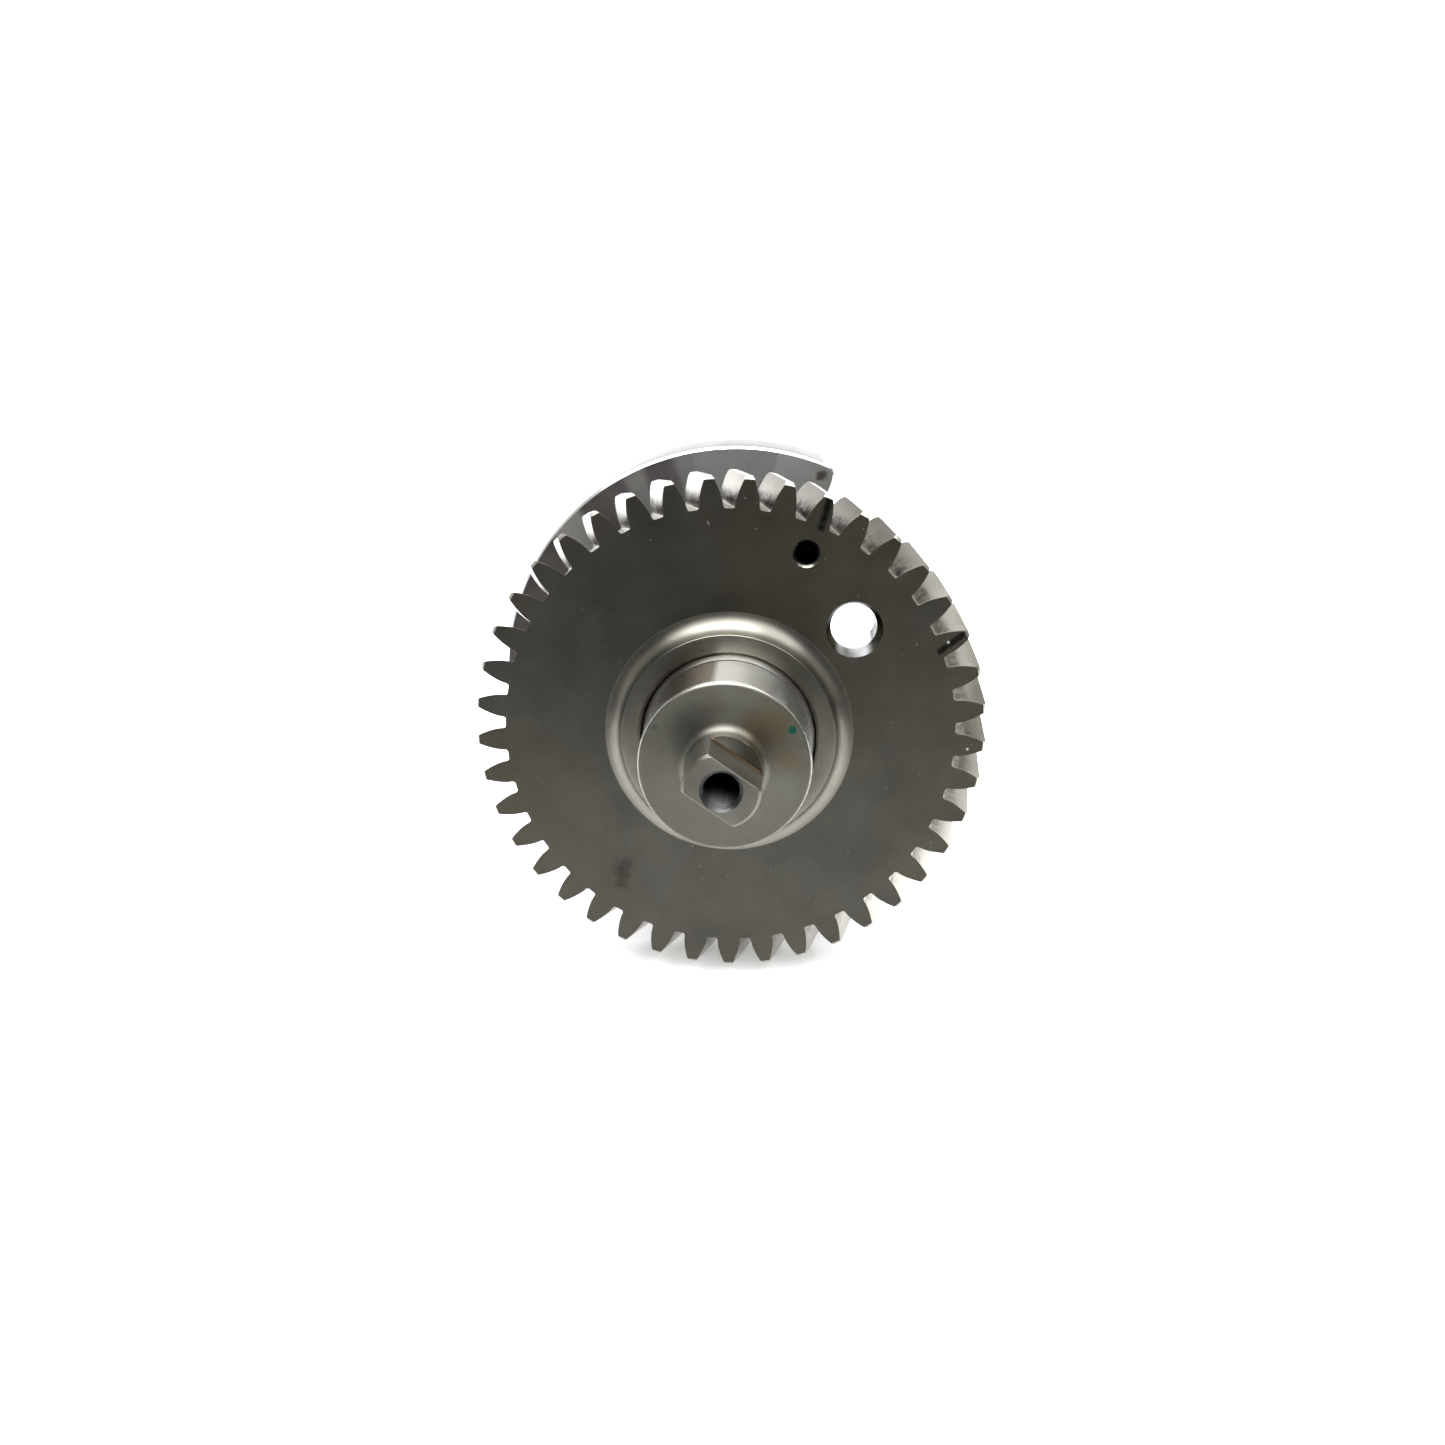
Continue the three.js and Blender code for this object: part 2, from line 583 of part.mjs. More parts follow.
// An open spring ring in the shaft's groove, widest opposite its mouth, with a holed lug each side.
function retainingRing() {
  const frontY = bearingHalf + FIT_GAP;
  const rearY = frontY + RETAINER_WIDTH;
  const innerR = GROOVE_R + FIT_GAP;
  const mouth = new THREE.Shape();
  mouth.moveTo(0, 0);
  mouth.absarc(0, 0, 2 * RETAINER_R, Math.PI / 2 - RETAINER_MOUTH, Math.PI / 2 + RETAINER_MOUTH);
  const disc = (x, z, radius, reach, sides = HOLE_SIDES) => {
    const circle = new THREE.Shape().absarc(x, z, radius, 0, 2 * Math.PI);
    return plate(circle, frontY - reach, rearY + reach, sides);
  };
  const lugCentres = [-1, 1].map((side) =>
    around(Math.PI / 2 + side * RETAINER_LUG_ANGLE).multiplyScalar(RETAINER_LUG_FROM_AXIS));
  let body = solid(disc(0, -RETAINER_OFFSET, RETAINER_R, 0, SHAFT_SIDES));
  for (const { x, y } of lugCentres) body = body.add(solid(disc(x, y, RETAINER_LUG_R, 0)));
  for (const { x, y } of lugCentres) {
    body = body.subtract(solid(disc(x, y, RETAINER_LUG_HOLE_R, 1, RIVET_SIDES)));
  }
  body = body
    .subtract(solid(disc(0, 0, innerR, 1, SHAFT_SIDES)))
    .subtract(solid(plate(mouth, frontY - 1, rearY + 1)));
  return named('retaining_ring', meshGeometry(body), springSteel);
}

// ---------------------------------------------------------------- assembly

const rotor = new THREE.Group();
rotor.add(balanceShaft(), helicalGear(), counterweight(), counterweightKey());
rotor.add(distanceSleeve(), innerRing(), retainingRing());

const part = new THREE.Group();
part.add(outerRing(), rotor, cage());

export default part;
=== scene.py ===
"""Looks for an engine balance shaft with a pressed-on helical gear.

The shaft's axis is Y, its drive stub points to -Y, and angles round it start at +X and grow
towards +Z. Shapes are drawn in millimetres and turned into metres when a piece is made.
"""

import functools
import math

import bpy
import bmesh
from mathutils import Euler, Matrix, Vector


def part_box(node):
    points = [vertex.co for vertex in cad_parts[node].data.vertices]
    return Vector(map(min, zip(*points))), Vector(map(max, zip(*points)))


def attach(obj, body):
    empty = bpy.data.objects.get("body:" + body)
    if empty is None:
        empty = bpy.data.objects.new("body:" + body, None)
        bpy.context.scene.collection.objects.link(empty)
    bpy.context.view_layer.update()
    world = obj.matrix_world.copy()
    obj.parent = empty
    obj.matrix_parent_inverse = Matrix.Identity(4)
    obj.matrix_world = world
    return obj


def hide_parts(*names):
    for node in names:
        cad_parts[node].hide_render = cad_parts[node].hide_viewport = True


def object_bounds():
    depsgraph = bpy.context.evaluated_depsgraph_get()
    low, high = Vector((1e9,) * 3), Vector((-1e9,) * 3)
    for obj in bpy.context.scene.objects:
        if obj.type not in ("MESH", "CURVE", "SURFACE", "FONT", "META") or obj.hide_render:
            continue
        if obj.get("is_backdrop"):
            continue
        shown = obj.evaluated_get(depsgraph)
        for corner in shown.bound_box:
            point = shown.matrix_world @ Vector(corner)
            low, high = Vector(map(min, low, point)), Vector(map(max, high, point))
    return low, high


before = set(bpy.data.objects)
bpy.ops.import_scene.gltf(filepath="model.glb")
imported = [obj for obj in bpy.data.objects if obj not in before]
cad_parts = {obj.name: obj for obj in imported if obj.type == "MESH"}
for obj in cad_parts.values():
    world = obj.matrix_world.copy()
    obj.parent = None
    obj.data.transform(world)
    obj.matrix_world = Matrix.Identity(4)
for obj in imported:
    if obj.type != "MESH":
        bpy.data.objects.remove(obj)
cad_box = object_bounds()

MM = 0.001
TURN = 2 * math.pi


# ------------ sizes, in millimetres

def span(node):
    """The first and last station of a CAD node along the shaft."""
    low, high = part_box(node)
    return low.y / MM, high.y / MM


def outer_radius(node):
    """The radius of a CAD node that goes all the way round the shaft."""
    low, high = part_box(node)
    return max(high.x - low.x, high.z - low.z) / 2 / MM


STUB_END, SHAFT_END = span("balance_shaft")
BOSS_TOP, GEAR_REAR = span("helical_gear")
WEIGHT_FRONT, WEIGHT_REAR = span("counterweight")
BEARING_FRONT, BEARING_REAR = span("bearing_outer_ring")
RETAINER_FRONT, RETAINER_REAR = span("retaining_ring")

BOSS_HEIGHT = 3.9
GEAR_FRONT = BOSS_TOP + BOSS_HEIGHT
JOURNAL_LENGTH = 15.6
JOURNAL_FACE = BOSS_TOP - JOURNAL_LENGTH

STUB_R = 6.55
FLATS_ANGLE = math.radians(54.5)
FLATS_HALF = 3.9
FLATS_LENGTH = 9.0
STUB_FILLET = 1.5
JOURNAL_R = 15.0
JOURNAL_LEAD_IN = 0.55
JOURNAL_LEAD_IN_LENGTH = 1.5
RELIEF_R = 14.6  # between the journal and the gear's seat
GEAR_SEAT_R = 15.7
SHOULDER_R = outer_radius("balance_shaft")
SHOULDER_LENGTH = 3.5
MIDDLE_R = 17.0
MIDDLE_INSET = 6.5  # from a shoulder's face to where the middle is down to its radius
WEIGHT_SEAT_R = 15.0
BEARING_SEAT_R = 10.0
GROOVE_R = 9.1
GROOVE_PLAY = 0.2
SHAFT_CHAMFER = 0.8
CENTRE_HOLE_R = 1.6
CENTRE_HOLE_DEPTH = 1.5

TEETH = 41
TIP_R = 46.98
ROOT_R = 41.3
PITCH_R = 44.0
PRESSURE_ANGLE = math.radians(17.5)
TOOTH_THICKNESS = 3.55
ROOT_FLOOR = 1.3
ROOT_FILLET = 1.0
HELIX_TURN = math.radians(4.3)
FIRST_TOOTH = math.radians(94.03)
TIP_CHAMFER = 0.6
EDGE_BREAK = 0.06
GEAR_BORE_R = 16.0
BOSS_R = 19.44
BOSS_FILLET = 3.4
TIMING_HOLE = {"radius": 2.06, "mouth": 2.5, "lead_in": 0.5, "from_axis": 36.0,
               "angle": math.radians(67.4)}
TIMING_DEPTH = 7.5
TIMING_POINT = 1.2  # the drill's point, past that depth
LARGE_HOLE = {"radius": 4.2, "mouth": 5.1, "lead_in": 3.0, "from_axis": 29.9,
              "angle": math.radians(41.0)}
REAR_CHAMFER = 0.3

WEIGHT_R = 49.6
WEIGHT_FRONT_RIM_R = 48.5
WEIGHT_RIM_TAPER = 4.2
WEIGHT_START = math.radians(64.5)
WEIGHT_END = math.radians(222)
WEIGHT_CORNER_R = 4.2
WEIGHT_HUB_R = 21.5
WEIGHT_HUB_STEP = 2.0  # along the hub, between a straight side and the hub's arc
WEIGHT_EDGE = 0.35
WEIGHT_REAR_EDGE = 0.8
WEIGHT_BORE_EDGE = 0.6

BALLS = 9
BALL_R = 3.175
BALL_CIRCLE_R = 15.5
RACE_R = 3.325
INNER_LAND_R = 13.6
OUTER_LAND_R = 17.4
CAGE_INNER_R = 14.1
CAGE_OUTER_R = 16.9
CAGE_SHEET = 0.7
CAGE_HALF_GAP = 0.15
CAGE_POCKET_R = 3.4
RIVET_R = 0.5
RIVET_HEAD_R = 0.95
RIVET_HEAD_HEIGHT = 0.6
BEARING_R = outer_radius("bearing_outer_ring")
BEARING_EDGE = 0.8
BEARING_BORE_EDGE = 0.6
LAND_EDGE = 0.3

SLEEVE_FLANGE_R = 18.0
SLEEVE_FLANGE_WIDTH = 3.8
SLEEVE_TUBE_R = 13.3
SLEEVE_EDGE = 0.5

FLOOR_BELOW_GEAR = 47.9  # from the centre of the gear's front face, along the floor's normal
FLOOR_TILT = math.radians(18.455)
CAMERA_AT = Vector((9.6, -232.97, 72.03))  # from the centre of the gear's front face
CAMERA_TURN = (math.radians(73.314), math.radians(0.312), math.radians(2.552))
CAMERA_LENS = 33.1


# ------------ mesh tools

def polar(radius, angle):
    """X and Z of a point round the shaft."""
    return radius * math.cos(angle), radius * math.sin(angle)


def place(radius, y, angle):
    """A point at a radius and an angle round the shaft, and at a station along it."""
    x, z = polar(radius, angle)
    return x, y, z


def ring(radius, y, angles):
    """One circle of points, or a wavy one where radius is a function of the angle."""
    return [place(radius(angle) if callable(radius) else radius, y, angle) for angle in angles]


def even_angles(count):
    return [TURN * i / count for i in range(count)]


def arc(centre_r, centre_y, radius, start, end, steps):
    """(radius, y) points on an arc of a turned profile, between two angles in degrees."""
    points = []
    for i in range(steps + 1):
        angle = math.radians(start + (end - start) * i / steps)
        points.append((centre_r + radius * math.cos(angle), centre_y + radius * math.sin(angle)))
    return points


def soften(profile, size, closed=False, steps=3, least_turn=25):
    """Rounds each corner of a profile that turns by more than least_turn degrees."""
    count = len(profile)
    result = []
    for i, point in enumerate(profile):
        if not closed and i in (0, count - 1):
            result.append(point)
            continue
        here = Vector(point)
        before, after = Vector(profile[i - 1]), Vector(profile[(i + 1) % count])
        arriving, leaving = here - before, after - here
        if arriving.length < 1e-6 or leaving.length < 1e-6:
            continue
        if math.degrees(arriving.angle(leaving)) < least_turn:
            result.append(point)
            continue
        start = here - arriving.normalized() * min(size, 0.4 * arriving.length)
        end = here + leaving.normalized() * min(size, 0.4 * leaving.length)
        for step in range(steps + 1):
            t = step / steps
            bent = start.lerp(here, t).lerp(here.lerp(end, t), t)
            result.append(tuple(bent))
    return result


class Solid:
    """Vertices and faces of one piece, with a material number for each face."""

    def __init__(self):
        self.bm = bmesh.new()

    def add_ring(self, points):
        return [self.bm.verts.new(point) for point in points]

    def bridge(self, first, second, material=0, diagonals=None):
        """Faces between two closed loops with as many points. The loops run the same way.

        diagonals says for some places in the first loop which way the face there is split.
        """
        count = len(first)
        for i in range(count):
            j = (i + 1) % count
            a, b, c, d = first[i], second[i], second[j], first[j]
            ways = {"rising": ((a, b, c), (a, c, d)), "falling": ((a, b, d), (b, c, d))}
            for corners in ways.get((diagonals or {}).get(i), ((a, b, c, d),)):
                self.bm.faces.new(corners).material_index = material

    def fan(self, loop, point, material, flip):
        tip = self.bm.verts.new(point)
        count = len(loop)
        for i in range(count):
            j = (i + 1) % count
            corners = (loop[j], loop[i], tip) if flip else (loop[i], loop[j], tip)
            self.bm.faces.new(corners).material_index = material

    def fill(self, loops, normal):
        """A flat face inside the first loop and outside the others, with the first material."""
        edges = []
        for loop in loops:
            for i, vertex in enumerate(loop):
                other = loop[(i + 1) % len(loop)]
                edge = self.bm.edges.get((vertex, other)) or self.bm.edges.new((vertex, other))
                edges.append(edge)
        bmesh.ops.triangle_fill(
            self.bm, use_beauty=True, use_dissolve=False, edges=edges, normal=normal
        )

    def skin(self, rings, closed=False, materials=0):
        """Faces over a row of rings, with one material or a list. A ring of one point is a pole."""
        loops = [self.add_ring(points) for points in rings if len(points) > 1]
        numbers = materials if isinstance(materials, list) else [materials] * len(rings)
        for i, (first, second) in enumerate(zip(loops, loops[1:])):
            self.bridge(first, second, numbers[i])
        if closed:
            self.bridge(loops[-1], loops[0], numbers[len(loops) - 1])
        if len(rings[0]) == 1:
            self.fan(loops[0], rings[0][0], numbers[0], False)
        if len(rings[-1]) == 1:
            self.fan(loops[-1], rings[-1][0], numbers[len(loops) - 1], True)
        return loops

    def finish(self, name, body, materials, replaces=(), sharp=32):
        """Makes the piece: merged, outward, smooth but for edges of sharp degrees or more."""
        bm = self.bm
        bmesh.ops.remove_doubles(bm, verts=bm.verts, dist=1e-4)
        bmesh.ops.dissolve_degenerate(bm, dist=1e-5, edges=bm.edges)
        loose = [v for v in bm.verts if not v.link_faces]
        bmesh.ops.delete(bm, geom=loose, context="VERTS")
        bmesh.ops.recalc_face_normals(bm, faces=bm.faces)
        for face in bm.faces:
            face.smooth = True
        for edge in bm.edges:
            if len(edge.link_faces) == 2:
                edge.smooth = math.degrees(edge.calc_face_angle(0)) < sharp
        for vertex in bm.verts:
            vertex.co *= MM
        mesh = bpy.data.meshes.new(name)
        bm.to_mesh(mesh)
        bm.free()
        piece = bpy.data.objects.new(name, mesh)
        bpy.context.scene.collection.objects.link(piece)
        for material in materials:
            mesh.materials.append(material)
        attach(piece, body)
        if replaces:
            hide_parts(*replaces)


def turned_rings(profile, angles):
    """Rings for a profile of (radius, y) pairs. A point on the axis is a pole."""
    return [[(0, y, 0)] if r == 0 else ring(r, y, angles) for r, y in profile]


def moved(rings, radius, angle):
    """Rings drawn round the Y axis, moved to a point round the shaft."""
    cx, cz = polar(radius, angle)
    return [[(cx + x, y, cz + z) for x, y, z in points] for points in rings]


# ------------ material tools

class Nodes:
    """A short way to write the shader nodes of a new material or world."""

    def __init__(self, owner):
        owner.use_nodes = True
        self.tree = owner.node_tree
        self.shader = self.tree.nodes.get("Principled BSDF")

    def node(self, kind, **settings):
        made = self.tree.nodes.new(kind)
        for key, value in settings.items():
            setattr(made, key, value)
        return made

    def put(self, socket, value):
        """Links a socket's input, or sets it."""
        if isinstance(value, bpy.types.NodeSocket):
            self.tree.links.new(value, socket)
        else:
            socket.default_value = value

    def math(self, operation, first, second=0.0):
        made = self.node("ShaderNodeMath", operation=operation)
        self.put(made.inputs[0], first)
        self.put(made.inputs[1], second)
        return made.outputs[0]

    def add(self, *values):
        return functools.reduce(lambda a, b: self.math("ADD", a, b), values)

    def times(self, *values):
        return functools.reduce(lambda a, b: self.math("MULTIPLY", a, b), values)

    def vector(self, operation, value):
        made = self.node("ShaderNodeVectorMath", operation=operation)
        self.put(made.inputs[0], value)
        return made.outputs["Value" if operation == "LENGTH" else "Vector"]

    def combine(self, x, y, z):
        made = self.node("ShaderNodeCombineXYZ")
        for socket, value in zip(made.inputs, (x, y, z)):
            self.put(socket, value)
        return made.outputs[0]

    def noise(self, where, scale, detail=3.0, roughness=0.55):
        made = self.node("ShaderNodeTexNoise")
        self.put(made.inputs["Vector"], where)
        made.inputs["Scale"].default_value = scale
        made.inputs["Detail"].default_value = detail
        made.inputs["Roughness"].default_value = roughness
        return made.outputs["Fac"]

    def between(self, value, low, high, to_low=0.0, to_high=1.0):
        """A smooth step from to_low to to_high as a value goes from low to high."""
        made = self.node("ShaderNodeMapRange", interpolation_type="SMOOTHSTEP")
        for socket, number in zip(made.inputs, (value, low, high, to_low, to_high)):
            self.put(socket, number)
        return made.outputs[0]

    def mix(self, share, first, second):
        made = self.node("ShaderNodeMix", data_type="RGBA")
        self.put(made.inputs["Factor"], share)
        self.put(made.inputs[6], first)
        self.put(made.inputs[7], second)
        return made.outputs[2]

    def bump(self, height, strength, distance_mm):
        made = self.node("ShaderNodeBump")
        made.inputs["Strength"].default_value = strength
        made.inputs["Distance"].default_value = distance_mm * MM
        self.put(made.inputs["Height"], height)
        return made.outputs[0]

    def at_rest(self):
        """Where a point is on the piece at rest, in millimetres: vector, x, y, z, and its radius."""
        at = self.node("ShaderNodeTexCoord").outputs["Object"]
        scaled = self.vector("SCALE", at)
        scaled.node.inputs["Scale"].default_value = 1 / MM
        parts = self.node("ShaderNodeSeparateXYZ")
        self.put(parts.inputs[0], scaled)
        x, y, z = parts.outputs
        radius = self.vector("LENGTH", self.combine(x, 0.0, z))
        return scaled, x, y, z, radius

    def around_shaft(self, x, z):
        """The direction round the shaft at a point, for brushed highlights."""
        turn = self.node("ShaderNodeVectorTransform", vector_type="VECTOR", convert_from="OBJECT")
        turn.convert_to = "WORLD"
        self.put(turn.inputs[0], self.combine(z, 0.0, self.times(x, -1.0)))
        return self.vector("NORMALIZE", turn.outputs[0])


def shade(value):
    """A linear colour from an sRGB grey or an sRGB triple of 0 to 255."""
    triple = (value,) * 3 if isinstance(value, int) else value
    return (*(((c / 255 + 0.055) / 1.055) ** 2.4 if c > 10 else c / 255 / 12.92 for c in triple), 1.0)


def turned_steel(name, light, dark, roughness, lines, anisotropic, blotch=0.15, extra=None):
    """Steel from a lathe or a grinder: fine lines round the shaft, and highlights across them.

    light and dark are its two tones, lines is how strong the lines are, blotch is how uneven the
    roughness is, and extra is a function that adds marks, painted highlights and painted shade.
    """
    material = bpy.data.materials.new(name)
    n = Nodes(material)
    where, x, y, z, radius = n.at_rest()
    fine = n.noise(n.combine(radius, y, 0.0), 7.0, 4.0, 0.7)
    coarse = n.noise(n.combine(radius, y, 0.0), 1.3, 2.0)
    cloud = n.noise(where, 0.11, 4.0)
    tone = n.add(n.times(fine, 0.35), n.times(cloud, 0.65))
    colour = n.mix(n.between(tone, 0.3, 0.7), shade(dark), shade(light))
    rough = n.add(n.times(cloud, blotch), roughness - blotch / 2)
    if extra:
        colour, rough = extra(n, where, x, y, z, radius, colour, rough)
    n.put(n.shader.inputs["Base Color"], colour)
    n.put(n.shader.inputs["Roughness"], rough)
    n.shader.inputs["Metallic"].default_value = 1.0
    n.shader.inputs["Anisotropic"].default_value = anisotropic
    n.shader.inputs["Anisotropic Rotation"].default_value = 0.25  # highlights run across the lines
    n.put(n.shader.inputs["Tangent"], n.around_shaft(x, z))
    height = n.add(fine, coarse)
    n.put(n.shader.inputs["Normal"], n.bump(height, lines, 0.01))
    return material


def stroke(n, x, z, start, end, half_width, ragged, soft):
    """A mask for a pen stroke on a face across the shaft, between two points in X and Z."""
    (x0, z0), (x1, z1) = start, end
    length = math.hypot(x1 - x0, z1 - z0)
    ux, uz = (x1 - x0) / length, (z1 - z0) / length
    dx, dz = n.math("SUBTRACT", x, x0), n.math("SUBTRACT", z, z0)
    along = n.add(n.times(dx, ux), n.times(dz, uz))
    across = n.math("SUBTRACT", n.times(dx, uz), n.times(dz, ux))
    across = n.add(n.math("ABSOLUTE", across), ragged)
    beyond = n.math("ABSOLUTE", n.math("SUBTRACT", along, length / 2))
    inside = n.between(across, half_width + soft, half_width - soft)
    ends = n.between(n.add(beyond, ragged), length / 2 + soft, length / 2 - soft)
    return n.times(inside, ends)


def spot(n, x, z, at, size, ragged, soft):
    """A mask for a round dab on a face across the shaft."""
    dx, dz = n.math("SUBTRACT", x, at[0]), n.math("SUBTRACT", z, at[1])
    distance = n.vector("LENGTH", n.combine(dx, dz, 0.0))
    return n.between(n.add(distance, ragged), size + soft, size - soft)


def uneven(n, where, scale, amount):
    """Noise either side of zero, to make an edge ragged."""
    return n.times(n.math("SUBTRACT", n.noise(where, scale), 0.5), amount)


# ------------ materials

def at_angle(radius, degrees):
    return polar(radius, math.radians(degrees))


def gear_face_marks(n, where, x, y, z, radius, colour, rough):
    """Marks on the front face: pen by two teeth, a scuff, a scratch, a score, painted droplet
    highlights, dust, stains.
    """
    ragged = uneven(n, where, 1.6, 0.45)
    front = n.between(y, GEAR_FRONT + 0.6, GEAR_FRONT + 0.4)
    first = stroke(n, x, z, (16.2, 37.2), (18.2, 44.6), 0.7, ragged, 0.5)
    second = stroke(n, x, z, at_angle(40.6, 22.4), at_angle(46.2, 24.3), 0.6, ragged, 0.35)
    worn = n.between(n.noise(where, 0.9, 4.0), 0.3, 0.55, 0.7, 0.95)
    pen = n.times(n.math("MAXIMUM", first, second), front, worn)
    frayed = uneven(n, where, 0.5, 3.5)
    scuff = stroke(n, x, z, at_angle(32.5, 232.0), at_angle(37.0, 235.5), 0.8, frayed, 1.6)
    scuff = n.times(scuff, front, 0.7)
    scratch = stroke(n, x, z, (-3.65, 39.0), (-3.3, 38.3), 0.05, 0.0, 0.08)
    score = stroke(n, x, z, (-4.45, 41.0), (-3.6, 38.9), 0.04, 0.0, 0.08)
    score = n.times(score, front, 0.8)
    # painted highlights: small white dots standing in for the glints on oil droplets
    droplet_glints = 0.0
    for at, size in (((39.3, 17.4), 0.24), ((43.0, 17.4), 0.2), ((39.8, 22.9), 0.18),
                     ((43.6, -2.6), 0.22)):
        droplet_glints = n.math("MAXIMUM", droplet_glints, spot(n, x, z, at, size, 0.0, 0.12))
    # the bright scratch, with the painted droplet highlights
    bright = n.times(n.math("MAXIMUM", scratch, n.times(droplet_glints, 0.7)), front)
    dust = n.times(n.between(n.noise(where, 1.5, 0.0), 0.84, 0.88, 0.0, 0.18), front)
    cloudy = n.between(n.noise(where, 0.03, 3.0), 0.4, 0.65, 0.0, 0.25)
    colour = n.mix(cloudy, colour, shade((92, 84, 66)))
    colour = n.mix(scuff, colour, shade((30, 28, 24)))
    colour = n.mix(score, colour, shade((24, 22, 20)))
    colour = n.mix(pen, colour, shade((9, 9, 10)))
    colour = n.mix(n.math("MAXIMUM", n.times(bright, 0.8), dust), colour, shade(240))
    return colour, n.add(rough, n.times(pen, 0.15))


def flank_root_shade(n, where, x, y, z, radius, colour, rough):
    """Painted shade and dark reflection, mottled, low on the flanks just above the bottom of each gap,
    stronger towards the top.
    """
    low = n.between(radius, ROOT_R + 0.15, ROOT_R + 0.8)
    high = n.between(n.add(radius, uneven(n, where, 0.7, 3.0)), ROOT_R + 3.2, ROOT_R + 1.6)
    mottled = n.between(n.noise(where, 0.55, 4.0, 0.6), 0.42, 0.56, 0.2, 1.0)
    upper = n.between(z, 15.0, 34.0, 0.4, 0.85)
    # painted shade near the roots of the teeth
    return n.mix(n.times(low, high, mottled, upper), colour, shade((44, 43, 39))), rough


def end_face_stains(n, where, x, y, z, radius, colour, rough):
    """Faint brown tints on the journal's end face and the stub, and a teal dot near the edge."""
    face = n.between(y, JOURNAL_FACE + 0.5, JOURNAL_FACE + 0.3)
    brown = spot(n, x, z, at_angle(10.2, 44), 3.8, uneven(n, where, 0.3, 4.5), 1.6)
    low = spot(n, x, z, at_angle(10.8, 8), 1.8, uneven(n, where, 0.3, 3.0), 1.6)
    tint = n.times(n.math("MAXIMUM", brown, low), face, 0.6)
    root = n.between(y, STUB_END + FLATS_LENGTH - 2.3, STUB_END + FLATS_LENGTH - 1.2)
    level = n.add(n.times(x, math.cos(FLATS_ANGLE)), n.times(z, math.sin(FLATS_ANGLE)))
    over = n.between(level, FLATS_HALF - 0.4, FLATS_HALF - 0.2)
    under = n.between(level, FLATS_HALF + 0.45, FLATS_HALF + 0.2)
    before_face = n.between(y, JOURNAL_FACE - 2.4, JOURNAL_FACE - 2.8)
    rust = n.times(root, over, under, before_face, 0.75)
    ragged = uneven(n, where, 1.3, 0.8)
    dot = n.times(spot(n, x, z, at_angle(13.35, 30.5), 0.72, ragged, 0.2), face)
    smudge = n.times(spot(n, x, z, at_angle(13.7, 149), 0.5, ragged, 0.3), face, 0.5)
    colour = n.mix(tint, colour, shade((112, 98, 72)))
    colour = n.mix(rust, colour, shade((84, 64, 42)))
    colour = n.mix(smudge, colour, shade((50, 72, 70)))
    colour = n.mix(n.times(dot, 0.9), colour, shade((18, 92, 80)))
    return colour, n.add(rough, n.times(dot, 0.2))


def mouth_painted_highlight(n, where, x, y, z, radius, colour, rough):
    """Painted highlight: the lower side of the large hole's mouth made near white."""
    centre_x, centre_z = polar(LARGE_HOLE["from_axis"], LARGE_HOLE["angle"])
    low = n.between(z, centre_z - 2.0, centre_z - 3.4)
    middle = n.between(n.math("ABSOLUTE", n.math("SUBTRACT", x, centre_x)), 3.6, 2.0)
    # painted highlight on the lower side of the mouth
    return n.mix(n.times(low, middle), colour, shade(240)), rough


def journal_painted_shade(n, where, x, y, z, radius, colour, rough):
    """Painted shade: a darker brownish band on one side of the polished journal, standing in for a dark
    reflection there.
    """
    turn = n.add(n.math("ARCTAN2", z, x), uneven(n, n.combine(x, 0.0, z), 0.4, 0.05))
    start = n.between(turn, math.radians(94), math.radians(100))
    end = n.between(turn, math.radians(150), math.radians(118), 0.35, 1.0)
    behind_face = n.between(y, JOURNAL_FACE + 0.6, JOURNAL_FACE + 1.4)
    # painted shade on one side of the journal
    return n.mix(n.times(start, end, behind_face, 0.85), colour, shade((96, 84, 72))), rough


def weight_fan_highlights_and_stain(n, where, x, y, z, radius, colour, rough):
    """Painted highlights: light fans on the turned face standing in for its streaked reflections, and a
    small brown stain by the start of the rim.
    """
    turn = n.add(n.math("ARCTAN2", z, x), uneven(n, where, 0.15, 0.04))

    def fan(middle, half, strength):
        away = n.math("ABSOLUTE", n.math("SUBTRACT", turn, math.radians(middle)))
        return n.between(away, math.radians(half + 1.8), math.radians(half - 0.8), 0.0, strength)

    # painted highlights: light fans standing in for reflections in the turned face, weaker off the
    # front face
    light = 0.0
    for middle, half, strength in ((136.5, 4.0, 1.0), (116.0, 2.2, 0.5), (100.0, 4.5, 0.45),
                                   (83.0, 18.0, 0.55), (71.0, 9.0, 0.9)):
        light = n.math("MAXIMUM", light, fan(middle, half, strength))
    front = n.between(y, WEIGHT_FRONT + 1.0, WEIGHT_FRONT + 0.5, 0.15, 0.8)
    colour = n.mix(n.times(light, front), colour, shade(212))
    stain = spot(n, x, z, at_angle(46.1, 68.0), 1.1, uneven(n, where, 0.8, 1.6), 0.5)
    return n.mix(n.times(stain, front), colour, shade((74, 58, 34))), rough


GEAR_FACE = turned_steel(
    "gear_face_steel", (73, 72, 68), (63, 62, 58), 0.38, 0.08, 0.0, 0.04, gear_face_marks)
TOOTH_FLANK = turned_steel(
    "tooth_flank_steel", (172, 169, 161), (152, 149, 141), 0.27, 0.08, 0.0, 0.05, flank_root_shade)
BOSS_STEEL = turned_steel(
    "boss_turned_steel", (120, 118, 110), (105, 103, 96), 0.32, 0.15, 0.6, 0.05)
HOLE_STEEL = turned_steel("hole_bored_steel", (168, 168, 172), (152, 152, 156), 0.22, 0.08, 0.0)
